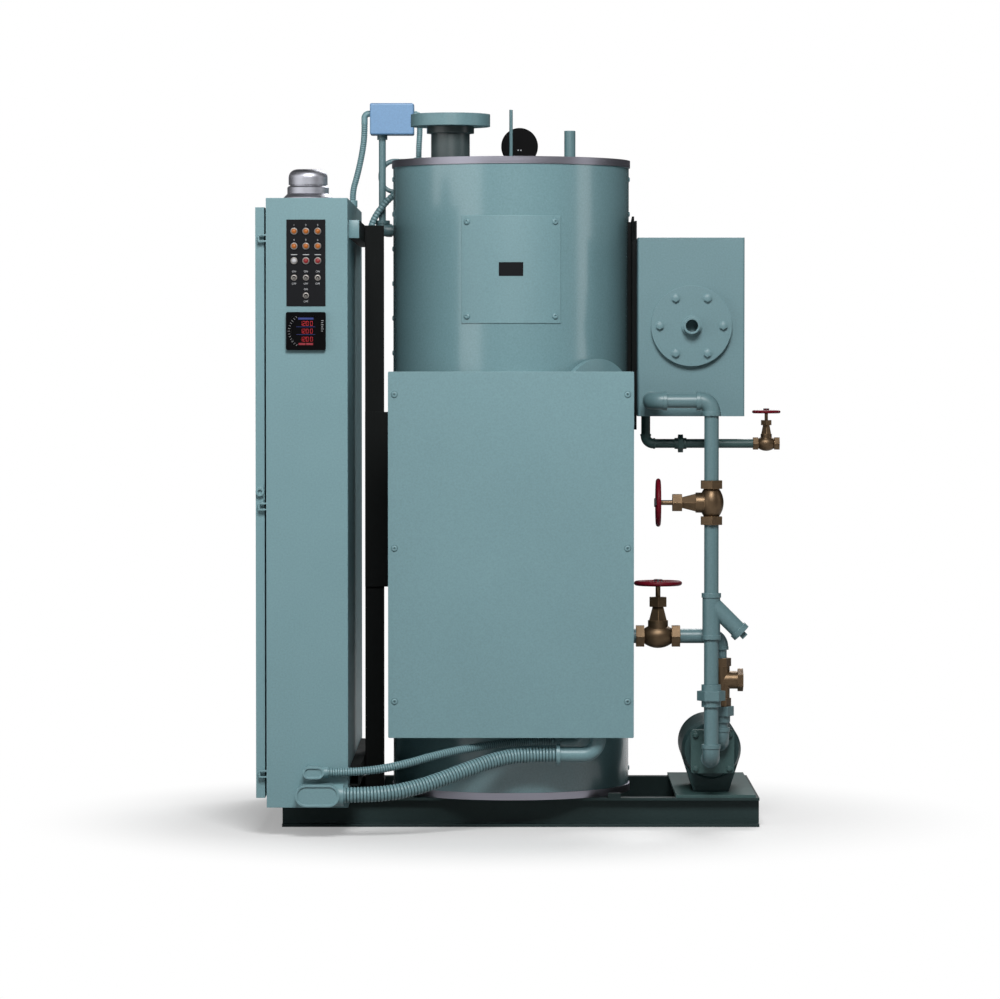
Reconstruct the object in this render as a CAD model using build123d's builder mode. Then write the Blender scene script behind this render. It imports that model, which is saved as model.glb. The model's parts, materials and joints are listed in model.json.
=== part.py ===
"""Packaged vertical electric steam boiler on a channel skid, in millimetres, +Z up.

The origin lies on the floor under the axis of the vessel, X runs to the right along the
skid and Y runs back from the front.
"""

import os
from collections import namedtuple
from math import asin, cos, degrees, pi, radians, sin, sqrt, tan

from build123d import *

# Clearances
seat_gap = 0.3
running_gap = 0.4

# Vessel
jacket_radius = 352.5
jacket_wall = 50
jacket_height = 1873
end_thickness = 6
lid_recess = 36
band_height = 21
band_thickness = 3.5
band_rise = 3
access_width = 288
access_height = 315
access_drop = 151
access_thickness = 2.5
handhole_angle = 42
handhole_drop = 101
handhole_radius = 141
handhole_neck = 122
handhole_stand = 14
handhole_thickness = 18
handhole_clearance = 4

# Skid
rail_height = 86
rail_flange = 38
rail_wall = 8
rail_under_cabinet = 205
skid_front = -283
skid_depth = 720
cross_flange = 44
clip_length = 38
clip_height = 13
clip_reach = 30
clip_offset = 304

# Terminal box on the front of the vessel
box_width = 704
box_base = 284
box_height = 1053
box_stand = 141
box_sink = 12
box_wall = 3
cover_thickness = 3
cover_overlap = 20
cover_corner = 4

# Fittings on the lid
steam_x = -180
steam_y = -100
steam_bore = 102.3
steam_neck = 114.3
steam_hub = 140
steam_hub_height = 20
steam_flange = 236
steam_flange_thickness = 36
steam_top = 2104
steam_face = 157
steam_face_rise = 1.6
steam_bolt_circle = 190.5
steam_bolt_hole = 19
steam_bolts = 8
vent_diameter = 10.5
vent_top = 2122
nipple_x = 176
nipple_outer = 33.4
nipple_bore = 26.6
nipple_top = 2059
gauge_x = 26
gauge_y = 205
gauge_radius = 56
gauge_depth = 34
gauge_bezel = 6
gauge_recess = 5
gauge_height = 2023
siphon_diameter = 13.7
siphon_radius = 47
siphon_x = -350
siphon_y = 220
siphon_height = 1933
siphon_pitch = 17
siphon_corners = 6
siphon_ease = 2.5
siphon_over = -150
siphon_over_bend = 25
siphon_end_bend = 12

# Level probe housing beside the lid
housing_x = -361
housing_y = 200
housing_width = 133
housing_depth = 92
housing_height = 95
housing_base = 2056.6
housing_corner = 5
riser_x = -391
riser_outer = 21.3
riser_height = 1767.5
riser_collar = 31
riser_collar_length = 14

# Control cabinet, with its door on the left
post_gap = 30.5
post_width = 56
post_wall = 4
post_y = 70
strut_depth = 30
strut_height = 52
strut_wall = 5
strut_front = -460
strut_length = 1020
strut_drop = 60
strut_rise = 52
cabinet_width = 234
cabinet_front = -570
cabinet_depth = 1220
cabinet_height = 1752
cabinet_wall = 3
cabinet_lip = 30
panel_thickness = 3
panel_stand = 14
panel_margin = 60
door_gap = 5.5
door_thickness = 26
door_wall = 2.5
door_setback = 20
door_drop = 26
hinge_radius = 5
hinge_pin = 2.4
hinge_length = 56
hinge_spread = 640
brace_base = 692
brace_height = 526
brace_thickness = 8
clamp_width = 23
clamp_height = 22
clamp_wall = 4.5
clamp_depth = 12
clamp_middle = 953
clamp_spread = 770
latch_radius = 12.7
latch_length = 14
latch_above = 42
latch_plate_height = 48

# Instruments on the cabinet
horn_x = -586
horn_y = -470
horn_base_radius = 71
horn_base_edge = 4
horn_base_height = 15
horn_body_radius = 60
horn_body_height = 22
horn_body_bevel = 4
horn_groove_radius = 52
horn_groove = 4
horn_dome_radius = 56.3
horn_dome_height = 44.6
horn_dome_corner = 24
control_x = -588
control_width = 112
control_height = 248
control_base = 1528
control_thickness = 2
lamp_pitch = 34
lamp_bezel = 10.3
lamp_lens = 7.2
lamp_rise = 7
lamp_rows = (214.6, 172, 130)
lamp_lens_top = 5
toggle_row = 81.7
toggle_low = 30.6
toggle_radius = 8.2
toggle_rise = 5
toggle_lever = 16
toggle_lever_radius = 2.6
meter_width = 114
meter_height = 109
meter_gap = 17
meter_depth = 14
meter_corner = 5
meter_screen = 84
meter_screen_depth = 2

# Feed tank on the right of the vessel
bracket_plate = 6.5
bracket_pad = 6.5
bracket_pad_width = 120
bracket_base = 1168
bracket_height = 617
bracket_front = -170
bracket_depth = 235
bracket_slope = 60
bracket_rise = 15
tank_width = 312
tank_front = -300
tank_depth = 460
tank_base = 1209
tank_height = 517
tank_wall = 4
tank_lid = 6
tank_corner = 6
flange_radius = 118
flange_thickness = 20
flange_height = 1473.5
flange_nipple = 48.3
flange_nipple_length = 34
flange_hub = 58
flange_hub_length = 14
flange_bore = 36

# Pipe sizes, each with the screwed elbow that goes with it
Pipe = namedtuple("Pipe", "outer elbow reach bead bead_length")
feed_pipe = Pipe(outer=42.2, elbow=50.5, reach=44, bead=55.5, bead_length=12)
discharge_bend = Pipe(outer=36, elbow=45, reach=40, bead=47, bead_length=9)
drain_pipe_size = Pipe(outer=26.7, elbow=29.5, reach=28, bead=32, bead_length=6)
riser_pipe = Pipe(outer=33.4, elbow=40, reach=30, bead=46, bead_length=10)

# Globe valves, measured from the crossing of the pipe and the stem
Valve = namedtuple(
    "Valve",
    "reach hex_length hex_flats body_radius neck_radius collar_radius collar_low collar_high"
    " cone_high cone_radius nut_low nut_high nut_flats stem wheel_height wheel_radius rim",
)
feed_valve_size = Valve(
    reach=64.5, hex_length=24, hex_flats=61, body_radius=35.5, neck_radius=22,
    collar_radius=29.5, collar_low=22, collar_high=46, cone_high=86, cone_radius=18,
    nut_low=86, nut_high=114, nut_flats=49, stem=14, wheel_height=155, wheel_radius=70.5, rim=17,
)
drain_valve_size = Valve(
    reach=39, hex_length=15, hex_flats=36, body_radius=22, neck_radius=14,
    collar_radius=16.5, collar_low=14, collar_high=28, cone_high=54, cone_radius=11,
    nut_low=54, nut_high=69, nut_flats=30, stem=9.5, wheel_height=93.5, wheel_radius=42, rim=11,
)
hex_turn = 30
wheel_spokes = 5
rim_flatness = 0.42
spoke_share = 0.6
hub_share = 1.15
wheel_nut_share = 1.6
stem_hold = 18
stem_nut = 7

# Suction line, from the tank down to the pump
suction_offset = 211.7
suction_stand = 90
suction_outlet = 38
suction_rise = 46
suction_valve_share = 0.4709
strainer_top = 695
strainer_base = 560
strainer_body = 52
strainer_bead = 57
strainer_bead_length = 13
strainer_branch = 49
strainer_branch_start = 666
strainer_reach = 125
strainer_cap = 57
strainer_cap_length = 16
strainer_plug = 20
strainer_plug_length = 14
union_top = 428
union_base = 363
union_collar = 57
union_nut_flats = 72
union_nut_height = 28
suction_drop = 209

# Discharge line, from the pump up to the feed valve and the vessel
discharge_offset = 31
discharge_y = -310
discharge_port = 252
discharge_union_base = 312
discharge_nut_base = 331
discharge_union_flats = 68
check_base = 359
check_top = 500.5
check_hex = 24
check_hex_flats = 54
check_body_radius = 27
check_branch_height = 436
check_branch_radius = 26
check_branch_reach = 50
check_cap_flats = 58
check_cap_length = 16
discharge_height = 565
feed_valve_x = 431

# Drain line under the tank
drain_inset = 25.7
drain_y = -200
drain_height = 1127.5
drain_union_offset = 102.8
drain_union_length = 15
drain_union_flats = 46
drain_union_collar = 33
drain_union_collar_length = 35
drain_valve_offset = 69.7
drain_bore = 21
drain_bore_depth = 24

# Pump and motor on their plate
pump_plate_left = 108.5
pump_plate_right = 126.5
pump_plate_thickness = 9
pump_plate_inset = 11
pump_offset = 10
pump_height = 221
pump_head_size = 128
pump_head_thickness = 22
pump_head_corner = 10
pump_case_radius = 58
pump_case_length = 40
motor_radius = 88
motor_length = 345
motor_bell = 28
motor_bell_radius = 80
motor_fan_radius = 70
foot_base_width = 104
foot_top_width = 168
foot_drop = 26
foot_length = 230

# Flexible conduits, with the fittings at their ends
large_conduit_diameter = 45
small_conduit_diameter = 24
housing_conduit_diameter = 19
lid_conduit_diameter = 17.4
sensor_conduit_diameter = 20
connector_diameter = 28
connector_height = 20
connector_bend = 0.7
bend_share = 0.45
large_hub = 64
large_hub_length = 11
large_body = (127, 63, 70)
small_hub = 32
small_hub_length = 10
small_body = (61, 36, 44)
body_rim = 4
body_rim_wall = 6
large_rise = 121
large_bend = 44
small_rise = 68
small_bend = 21

# Points of the conduit routes, from the cabinet end or the housing end
large_route = (
    (-480, -607, 126), (-372, -607, 126), (-255, -566, 147), (-140, -512, 186),
    (-30, -462, 221), (62, -440, 228.5), (132, -440, 228.5),
)
small_route = (
    (-526, -592, 190), (-432, -592, 190), (-318, -566, 207), (-205, -515, 236),
    (-90, -444, 252), (16, -378, 258), (82, -356, 260), (132, -356, 260),
)
housing_route = (
    (-445, 200, 2092), (-445, 200, 2052), (-453, 195, 1995), (-468, 188, 1928),
    (-480, 181, 1888), (-480, 181, 1858),
)
lid_route = ((-277, 200, 2092), (-277, 200, 2064), (-280, 188, 2016), (-280, 188, 1988))
sensor_route = (
    (-422, 113, 1706), (-425, 130, 1735), (-426, 150, 1772), (-411, 166, 1812),
    (-380, 174, 1852), (-350, 178, 1880), (-327, 176, 1894),
)

# Places that follow from the sizes above
floor_top = rail_height + end_thickness
jacket_top = floor_top + jacket_height
lid_base = jacket_top - lid_recess
lid_top = lid_base + end_thickness
band_inner = jacket_radius + seat_gap
band_top = jacket_top + band_rise
access_base = band_top - band_height - access_drop - access_height
tank_left = jacket_radius + bracket_pad + 2 * bracket_plate
tank_right = tank_left + tank_width
tank_middle = (tank_left + tank_right) / 2
tank_rear = tank_front + tank_depth
tank_top = tank_base + tank_height
suction_height = tank_base + suction_rise
suction_valve_height = strainer_top + suction_valve_share * (suction_height - strainer_top)
suction_x = tank_left + suction_offset
suction_y = tank_front - suction_stand
outlet_x = tank_left + suction_outlet
discharge_x = suction_x + discharge_offset
pump_x = suction_x + pump_offset
pump_face = discharge_y + feed_pipe.reach
plate_left = pump_x - pump_plate_left
plate_right = pump_x + pump_plate_right
plate_top = rail_height + pump_plate_thickness
post_right = -jacket_radius - post_gap
post_left = post_right - post_width
post_front = post_y - post_width / 2
post_rear = post_y + post_width / 2
cabinet_right = post_left - strut_depth
cabinet_left = cabinet_right - cabinet_width
cabinet_rear = cabinet_front + cabinet_depth
cabinet_top = rail_height + cabinet_height
cabinet_middle = (rail_height + cabinet_top) / 2
skid_left = cabinet_right - rail_under_cabinet
skid_right = plate_right + pump_plate_inset
skid_rear = skid_front + skid_depth
box_front = -jacket_radius - box_stand
box_back = -jacket_radius + box_sink
box_top = box_base + box_height
handhole_height = box_top - handhole_drop
door_right = cabinet_left - door_gap
door_left = door_right - door_thickness
door_front = cabinet_front + door_setback
door_rear = cabinet_rear - door_setback
hinge_x = cabinet_left - hinge_radius - running_gap
hinge_y = door_rear + hinge_radius + running_gap
drain_x = tank_left + drain_inset
drain_valve_x = tank_right + drain_valve_offset
drain_union_x = drain_x + drain_union_offset
suction_place = Plane((suction_x, suction_y, suction_valve_height), x_dir=(0, 0, 1), z_dir=(-1, 0, 0))
feed_place = Plane((feed_valve_x, discharge_y, discharge_height), x_dir=(1, 0, 0), z_dir=(0, 0, 1))
drain_place = Plane((drain_valve_x, drain_y, drain_height), x_dir=(1, 0, 0), z_dir=(0, 0, 1))


def block(x, y, z, mode=Mode.ADD):
    """A box between a low and a high value on each axis."""
    spans = (x, y, z)
    with Locations(tuple((low + high) / 2 for low, high in spans)):
        Box(*[high - low for low, high in spans], mode=mode)


def rod(start, end, diameter, mode=Mode.ADD):
    """A round bar between two points."""
    axis = Vector(*end) - Vector(*start)
    with BuildSketch(Plane(origin=start, z_dir=axis)) as section:
        Circle(diameter / 2)
    extrude(section.sketch, amount=axis.length, mode=mode)


def turned(place, outline, mode=Mode.ADD):
    """An outline of (radius, distance) points turned about the Z axis of a plane."""
    with BuildSketch(Plane(place.origin, x_dir=place.x_dir, z_dir=-place.y_dir)) as section:
        with BuildLine():
            Polyline(*outline, close=True)
        make_face()
    revolve(section.sketch, axis=Axis(place.origin, place.z_dir), mode=mode)


def hexagon(place, flats, length, turn=0):
    """A hexagon bar that stands on a plane."""
    with BuildSketch(place) as section:
        RegularPolygon(radius=flats / 2, side_count=6, major_radius=False, rotation=turn)
    extrude(section.sketch, amount=length)


def cut_jacket():
    """Take away what would lie inside the vessel's jacket."""
    with Locations((0, 0, floor_top + jacket_height / 2)):
        Cylinder(jacket_radius + seat_gap, jacket_height, mode=Mode.SUBTRACT)


def bent_tube(points, diameter, bend):
    """A round tube along straight runs with equal bends."""
    with BuildLine() as route:
        FilletPolyline(*points, radius=bend)
    with BuildSketch(Plane(origin=route.line @ 0, z_dir=route.line % 0)) as section:
        Circle(diameter / 2)
    sweep(section.sketch, path=route.wire())


def elbow(corner, first, second, size):
    """A screwed elbow with a bead round each mouth, its mouths facing two directions."""
    middle = Vector(*corner)
    mouths = [middle + Vector(*way) * size.reach for way in (first, second)]
    bent_tube((mouths[0], middle, mouths[1]), size.elbow, size.reach - size.bead_length)
    for mouth, way in zip(mouths, (first, second)):
        rod(mouth - Vector(*way) * size.bead_length, mouth, size.bead)


def valve_body(place, size):
    """A globe valve: hexagon ends on the pipe, a round middle and a bonnet for the stem."""
    along = place.x_dir
    inner = size.reach - size.hex_length
    for side in (-1, 1):
        seat = place.origin + along * side * inner
        hexagon(Plane(seat, x_dir=place.z_dir, z_dir=along * side), size.hex_flats, size.hex_length,
                hex_turn)
    with BuildSketch(Plane(place.origin, x_dir=place.z_dir, z_dir=place.y_dir)) as middle:
        with BuildLine():
            ThreePointArc((size.neck_radius, -inner), (size.body_radius, 0), (size.neck_radius, inner))
            Polyline((size.neck_radius, inner), (0, inner), (0, -inner), (size.neck_radius, -inner))
        make_face()
    revolve(middle.sketch, axis=Axis(place.origin, along))
    collar = size.collar_radius
    turned(place, ((0, 0), (collar, size.collar_low), (collar, size.collar_high), (0, size.collar_high)))
    with BuildSketch(place.offset(size.collar_high)) as cone_foot:
        RegularPolygon(radius=collar, side_count=6, rotation=hex_turn)
    with BuildSketch(place.offset(size.cone_high)) as cone_head:
        RegularPolygon(radius=size.cone_radius, side_count=6, rotation=hex_turn)
    loft([cone_foot.sketch, cone_head.sketch])
    hexagon(place.offset(size.nut_low), size.nut_flats, size.nut_high - size.nut_low, hex_turn)
    with BuildSketch(place.offset(size.nut_high)) as stem_bore:
        Circle(size.stem / 2 + running_gap)
    extrude(stem_bore.sketch, amount=-stem_hold - running_gap, mode=Mode.SUBTRACT)


def handwheel(place, size):
    """A spoked wheel on its stem, with the nut that holds it."""
    wheel = place.offset(size.wheel_height)
    rim_middle = size.wheel_radius - size.rim / 2
    with BuildSketch(Plane(wheel.origin, x_dir=wheel.x_dir, z_dir=-wheel.y_dir)) as rim:
        with Locations((rim_middle, 0)):
            Ellipse(size.rim / 2, size.rim * rim_flatness)
    revolve(rim.sketch, axis=Axis(wheel.origin, wheel.z_dir))
    with BuildSketch(wheel.offset(-size.rim / 4)) as spokes:
        Circle(size.stem * hub_share)
        with PolarLocations(rim_middle / 2, wheel_spokes):
            Rectangle(rim_middle, size.rim * spoke_share)
    extrude(spokes.sketch, amount=size.rim / 2)
    with BuildSketch(place.offset(size.nut_high - stem_hold)) as stem:
        Circle(size.stem / 2)
    extrude(stem.sketch, amount=size.wheel_height - size.nut_high + stem_hold)
    hexagon(wheel.offset(size.rim / 4), size.stem * wheel_nut_share, stem_nut)


def union(x, y, low, high, flats, nut_height):
    """A pipe union on a vertical pipe: two collars with a hexagon nut between them."""
    middle = (low + high) / 2
    rod((x, y, low), (x, y, high), union_collar)
    hexagon(Plane.XY.offset(middle - nut_height / 2).move(Pos(x, y, 0)), flats, nut_height)


def conduit_tube(points, diameter):
    """A flexible conduit with each bend as large as its two runs allow."""
    places = [Vector(*point) for point in points]
    radii = []
    for before, here, after in zip(places, places[1:], places[2:]):
        run = min((here - before).length, (after - here).length)
        half_turn = radians((here - before).get_angle(after - here)) / 2
        radii.append(bend_share * run / tan(half_turn))
    with BuildLine() as route:
        FilletPolyline(*places, radius=radii)
    with BuildSketch(Plane(origin=route.line @ 0, z_dir=route.line % 0)) as section:
        Circle(diameter / 2)
    sweep(section.sketch, path=route.wire())
    return radii, route.wire().length


def conduit_body(x_right, z, size, hub, hub_length, hub_y):
    """A conduit body on the cabinet's face: a slot-shaped box with a rimmed cover and a hub."""
    length, height, depth = size
    middle = x_right - length / 2
    face = Plane((middle, cabinet_front, z), x_dir=(1, 0, 0), z_dir=(0, -1, 0))
    with BuildSketch(face) as outline:
        SlotOverall(length, height)
    extrude(outline.sketch, amount=depth)
    with BuildSketch(face.offset(depth)) as rim:
        SlotOverall(length, height)
        SlotOverall(length - 2 * body_rim_wall, height - 2 * body_rim_wall, mode=Mode.SUBTRACT)
    extrude(rim.sketch, amount=body_rim)
    rod((x_right - height / 2, hub_y, z), (x_right + hub_length, hub_y, z), hub)


def save(piece, name):
    """Name a finished piece and write it."""
    piece.part.label = name
    export_step(piece.part, f"parts/{name}.step")


os.makedirs("parts", exist_ok=True)

# Skid rails, with their flanges outward, and the channels between them
clip_middles = (-clip_offset, clip_offset)
for name, tip, inward in (("skid_front_rail", skid_front, 1), ("skid_rear_rail", skid_rear, -1)):
    with BuildPart() as rail:
        with BuildSketch(Plane((skid_left, tip, 0), x_dir=(0, inward, 0), z_dir=(1, 0, 0))):
            with BuildLine():
                Polyline(
                    (0, 0), (rail_flange, 0), (rail_flange, inward * rail_height), (0, inward * rail_height),
                    (0, inward * (rail_height - rail_wall)),
                    (rail_flange - rail_wall, inward * (rail_height - rail_wall)),
                    (rail_flange - rail_wall, inward * rail_wall), (0, inward * rail_wall), close=True,
                )
            make_face()
        extrude(amount=skid_right - skid_left)
        if inward > 0:
            for middle in clip_middles:
                block(
                    (middle - clip_length / 2, middle + clip_length / 2),
                    (skid_front, skid_front + clip_reach),
                    (rail_height, rail_height + clip_height),
                )
    save(rail, name)

cross_places = (
    skid_left + cross_flange / 2, (post_left + post_right) / 2, 0, skid_right - cross_flange / 2
)
with BuildPart() as skid_cross_members:
    for middle in cross_places:
        with BuildSketch(Plane((middle, skid_front + rail_flange, 0), x_dir=(1, 0, 0), z_dir=(0, -1, 0))):
            with Locations((0, rail_height / 2)):
                Rectangle(cross_flange, rail_height)
            with Locations((rail_wall / 2, rail_height / 2)):
                Rectangle(cross_flange - rail_wall, rail_height - 2 * rail_wall, mode=Mode.SUBTRACT)
        extrude(amount=-(skid_depth - 2 * rail_flange))
save(skid_cross_members, "skid_cross_members")

with BuildPart() as pump_plate:
    block((plate_left, plate_right), (skid_front, skid_rear), (rail_height, plate_top))
save(pump_plate, "pump_plate")

# Vessel: jacket, recessed lid, floor and trim
with BuildPart() as vessel_jacket:
    with BuildSketch(Plane.XY.offset(floor_top)):
        Circle(jacket_radius)
        Circle(jacket_radius - jacket_wall, mode=Mode.SUBTRACT)
    extrude(amount=jacket_height)
save(vessel_jacket, "vessel_jacket")

with BuildPart() as jacket_lid:
    with BuildSketch(Plane.XY.offset(lid_base)):
        Circle(jacket_radius - jacket_wall - seat_gap)
    extrude(amount=end_thickness)
save(jacket_lid, "jacket_lid")

with BuildPart() as jacket_floor:
    with BuildSketch(Plane.XY.offset(rail_height)):
        Circle(jacket_radius)
    extrude(amount=end_thickness)
save(jacket_floor, "jacket_floor")

with BuildPart() as trim_bands:
    for base in (rail_height, band_top - band_height):
        with BuildSketch(Plane.XY.offset(base)):
            Circle(band_inner + band_thickness)
            Circle(band_inner, mode=Mode.SUBTRACT)
        extrude(amount=band_height)
save(trim_bands, "jacket_trim_bands")

with BuildPart() as access_plate:
    half_angle = degrees(asin(access_width / 2 / band_inner))
    with BuildSketch(Plane.XY.offset(access_base)):
        with BuildLine():
            near = CenterArc((0, 0), band_inner, 270 - half_angle, 2 * half_angle)
            far = CenterArc((0, 0), band_inner + access_thickness, 270 - half_angle, 2 * half_angle)
            Line(near @ 0, far @ 0)
            Line(near @ 1, far @ 1)
        make_face()
    extrude(amount=access_height)
save(access_plate, "access_plate")

handhole_way = Vector(sin(radians(handhole_angle)), -cos(radians(handhole_angle)), 0)
handhole_place = Plane((0, 0, handhole_height), x_dir=(0, 0, 1), z_dir=handhole_way)
handhole_face = jacket_radius + handhole_stand
handhole_top = handhole_face + handhole_thickness
with BuildPart() as handhole_cover:
    inside = jacket_radius - jacket_wall
    turned(
        handhole_place,
        (
            (0, inside), (handhole_neck, inside), (handhole_neck, handhole_face),
            (handhole_radius, handhole_face), (handhole_radius, handhole_top), (0, handhole_top),
        ),
    )
    cut_jacket()
save(handhole_cover, "handhole_cover")

# Terminal box, open at the front and cut round the jacket, with its pan-shaped cover
with BuildPart() as terminal_box:
    block((-box_width / 2, box_width / 2), (box_front, box_back), (box_base, box_top))
    offset(amount=-box_wall, openings=terminal_box.faces().sort_by(Axis.Y)[0])
    cut_jacket()
    clear = handhole_radius + handhole_clearance
    turned(handhole_place, ((0, 0), (clear, 0), (clear, handhole_top + handhole_clearance),
                            (0, handhole_top + handhole_clearance)), mode=Mode.SUBTRACT)
save(terminal_box, "terminal_box")

with BuildPart() as terminal_cover:
    half_width = box_width / 2 + seat_gap + cover_thickness
    margin = seat_gap + cover_thickness
    block(
        (-half_width, half_width),
        (box_front - cover_thickness, box_front + cover_overlap),
        (box_base - margin, box_top + margin),
    )
    fillet(terminal_cover.edges().filter_by(Axis.Y), cover_corner)
    offset(amount=-cover_thickness, openings=terminal_cover.faces().sort_by(Axis.Y)[-1])
save(terminal_cover, "terminal_cover")

# Fittings that stand on the lid
flange_base = steam_top - steam_face_rise - steam_flange_thickness
hub_base = flange_base - steam_hub_height
with BuildPart() as steam_outlet:
    turned(
        Plane.XY.move(Pos(steam_x, steam_y, 0)),
        (
            (steam_bore / 2, lid_top), (steam_neck / 2, lid_top), (steam_neck / 2, hub_base),
            (steam_hub / 2, hub_base), (steam_hub / 2, flange_base), (steam_flange / 2, flange_base),
            (steam_flange / 2, steam_top - steam_face_rise), (steam_face / 2, steam_top - steam_face_rise),
            (steam_face / 2, steam_top), (steam_bore / 2, steam_top),
        ),
    )
    with BuildSketch(Plane.XY.offset(flange_base)):
        with Locations((steam_x, steam_y)):
            with PolarLocations(steam_bolt_circle / 2, steam_bolts, start_angle=180 / steam_bolts):
                Circle(steam_bolt_hole / 2)
    extrude(amount=steam_flange_thickness, mode=Mode.SUBTRACT)
save(steam_outlet, "steam_outlet")

with BuildPart() as lid_nipples:
    rod((0, 0, lid_top), (0, 0, vent_top), vent_diameter)
    rod((nipple_x, 0, lid_top), (nipple_x, 0, nipple_top), nipple_outer)
    rod((nipple_x, 0, lid_top), (nipple_x, 0, nipple_top), nipple_bore, mode=Mode.SUBTRACT)
save(lid_nipples, "lid_nipples")

gauge_place = Plane((gauge_x, gauge_y, gauge_height), x_dir=(1, 0, 0), z_dir=(0, 1, 0))
stem_y = gauge_y + gauge_depth / 2
siphon_low = lid_top + siphon_diameter
with BuildPart() as pressure_gauge:
    dial = gauge_depth - gauge_recess
    turned(
        gauge_place,
        (
            (0, 0), (gauge_radius - gauge_bezel / 2, 0), (gauge_radius, gauge_bezel / 2),
            (gauge_radius, gauge_depth), (gauge_radius - gauge_bezel, gauge_depth),
            (gauge_radius - gauge_bezel, dial), (0, dial),
        ),
    )
    rod((gauge_x, stem_y, gauge_height), (gauge_x, stem_y, siphon_low + siphon_diameter), siphon_diameter)
save(pressure_gauge, "pressure_gauge")

# Pigtail siphon: out of the jacket, one and a half turns, then over the rim to the gauge
siphon_start = -sqrt((jacket_radius + seat_gap) ** 2 - (siphon_y - siphon_diameter / 2) ** 2)
siphon_route = [(siphon_start, siphon_y, siphon_height - siphon_radius)]
corner_sides = (-1, -1, 1, 1)
corner_levels = (-1, 1, 1, -1)
for step in range(siphon_corners):
    corner = step % len(corner_sides)
    side = corner_sides[corner]
    level = corner_levels[corner]
    siphon_route.append(
        (
            siphon_x + side * siphon_radius,
            siphon_y + (step + 1) * siphon_pitch / len(corner_sides),
            siphon_height + level * siphon_radius,
        )
    )
siphon_end_y = siphon_y + siphon_corners * siphon_pitch / 4
siphon_route += [
    (siphon_over, siphon_end_y, siphon_height + siphon_radius),
    (siphon_over + siphon_radius, stem_y, siphon_low),
    (gauge_x, stem_y, siphon_low),
    (gauge_x, stem_y, siphon_low + siphon_diameter),
]
siphon_bends = [siphon_radius - siphon_ease] * siphon_corners + [siphon_over_bend] * 2 + [siphon_end_bend]
with BuildPart() as siphon_tube:
    bent_tube(siphon_route, siphon_diameter, siphon_bends)
save(siphon_tube, "siphon_tube")

# Level probe housing and its riser
housing_left = housing_x - housing_width / 2
housing_right = housing_x + housing_width / 2
housing_top = housing_base + housing_height
with BuildPart() as probe_housing:
    block(
        (housing_left, housing_right),
        (housing_y - housing_depth / 2, housing_y + housing_depth / 2),
        (housing_base, housing_top),
    )
    fillet(probe_housing.edges(), housing_corner)
save(probe_housing, "probe_housing")

with BuildPart() as probe_riser:
    rod((riser_x, housing_y, riser_height), (riser_x, housing_y, housing_base), riser_outer)
    rod((riser_x, housing_y, housing_base - riser_collar_length), (riser_x, housing_y, housing_base),
        riser_collar)
    elbow((riser_x, housing_y, riser_height), (0, 0, 1), (1, 0, 0), riser_pipe)
    rod((riser_x, housing_y, riser_height), (0, housing_y, riser_height), riser_pipe.outer)
    cut_jacket()
save(probe_riser, "probe_riser")

# Control cabinet: a sheet box with a lipped opening on the left, and its mounting panel
with BuildPart() as control_cabinet:
    block((cabinet_left, cabinet_right), (cabinet_front, cabinet_rear), (rail_height, cabinet_top))
    block(
        (cabinet_left + cabinet_wall, cabinet_right - cabinet_wall),
        (cabinet_front + cabinet_wall, cabinet_rear - cabinet_wall),
        (rail_height + cabinet_wall, cabinet_top - cabinet_wall),
        mode=Mode.SUBTRACT,
    )
    block(
        (cabinet_left, cabinet_left + cabinet_wall),
        (cabinet_front + cabinet_lip, cabinet_rear - cabinet_lip),
        (rail_height + cabinet_lip, cabinet_top - cabinet_lip),
        mode=Mode.SUBTRACT,
    )
save(control_cabinet, "control_cabinet")

panel_right = cabinet_right - cabinet_wall - panel_stand
panel_y = (cabinet_front + panel_margin, cabinet_rear - panel_margin)
panel_z = (rail_height + panel_margin, cabinet_top - panel_margin)
with BuildPart() as mounting_panel:
    block((panel_right - panel_thickness, panel_right), panel_y, panel_z)
    for y in (panel_y[0] + panel_margin, panel_y[1] - panel_margin):
        for z in (panel_z[0] + panel_margin, panel_z[1] - panel_margin):
            rod((panel_right, y, z), (panel_right + panel_stand, y, z), panel_stand)
save(mounting_panel, "mounting_panel")

hinge_heights = [cabinet_middle + step * hinge_spread for step in (-1, 0, 1)]
clamp_heights = [clamp_middle + step * clamp_spread for step in (-1, 0, 1)]
with BuildPart() as cabinet_fittings:
    for z in hinge_heights:
        rod((hinge_x, hinge_y, z - hinge_length), (hinge_x, hinge_y, z - running_gap), 2 * hinge_radius)
        rod((hinge_x, hinge_y, z - hinge_length), (hinge_x, hinge_y, z + hinge_length / 2), 2 * hinge_pin)
        block(
            (hinge_x + hinge_radius / 2, cabinet_left),
            (hinge_y, cabinet_rear),
            (z - hinge_length, z - running_gap),
        )
    for z in clamp_heights:
        clamp_y = (cabinet_front, cabinet_front + clamp_depth)
        half = clamp_height / 2
        block((cabinet_left - clamp_width, cabinet_left), clamp_y, (z - half, z + half))
        block(
            (cabinet_left - clamp_width + clamp_wall, cabinet_left), clamp_y,
            (z - half + clamp_wall, z + half - clamp_wall), mode=Mode.SUBTRACT,
        )
save(cabinet_fittings, "hinges_and_clamps")

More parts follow.
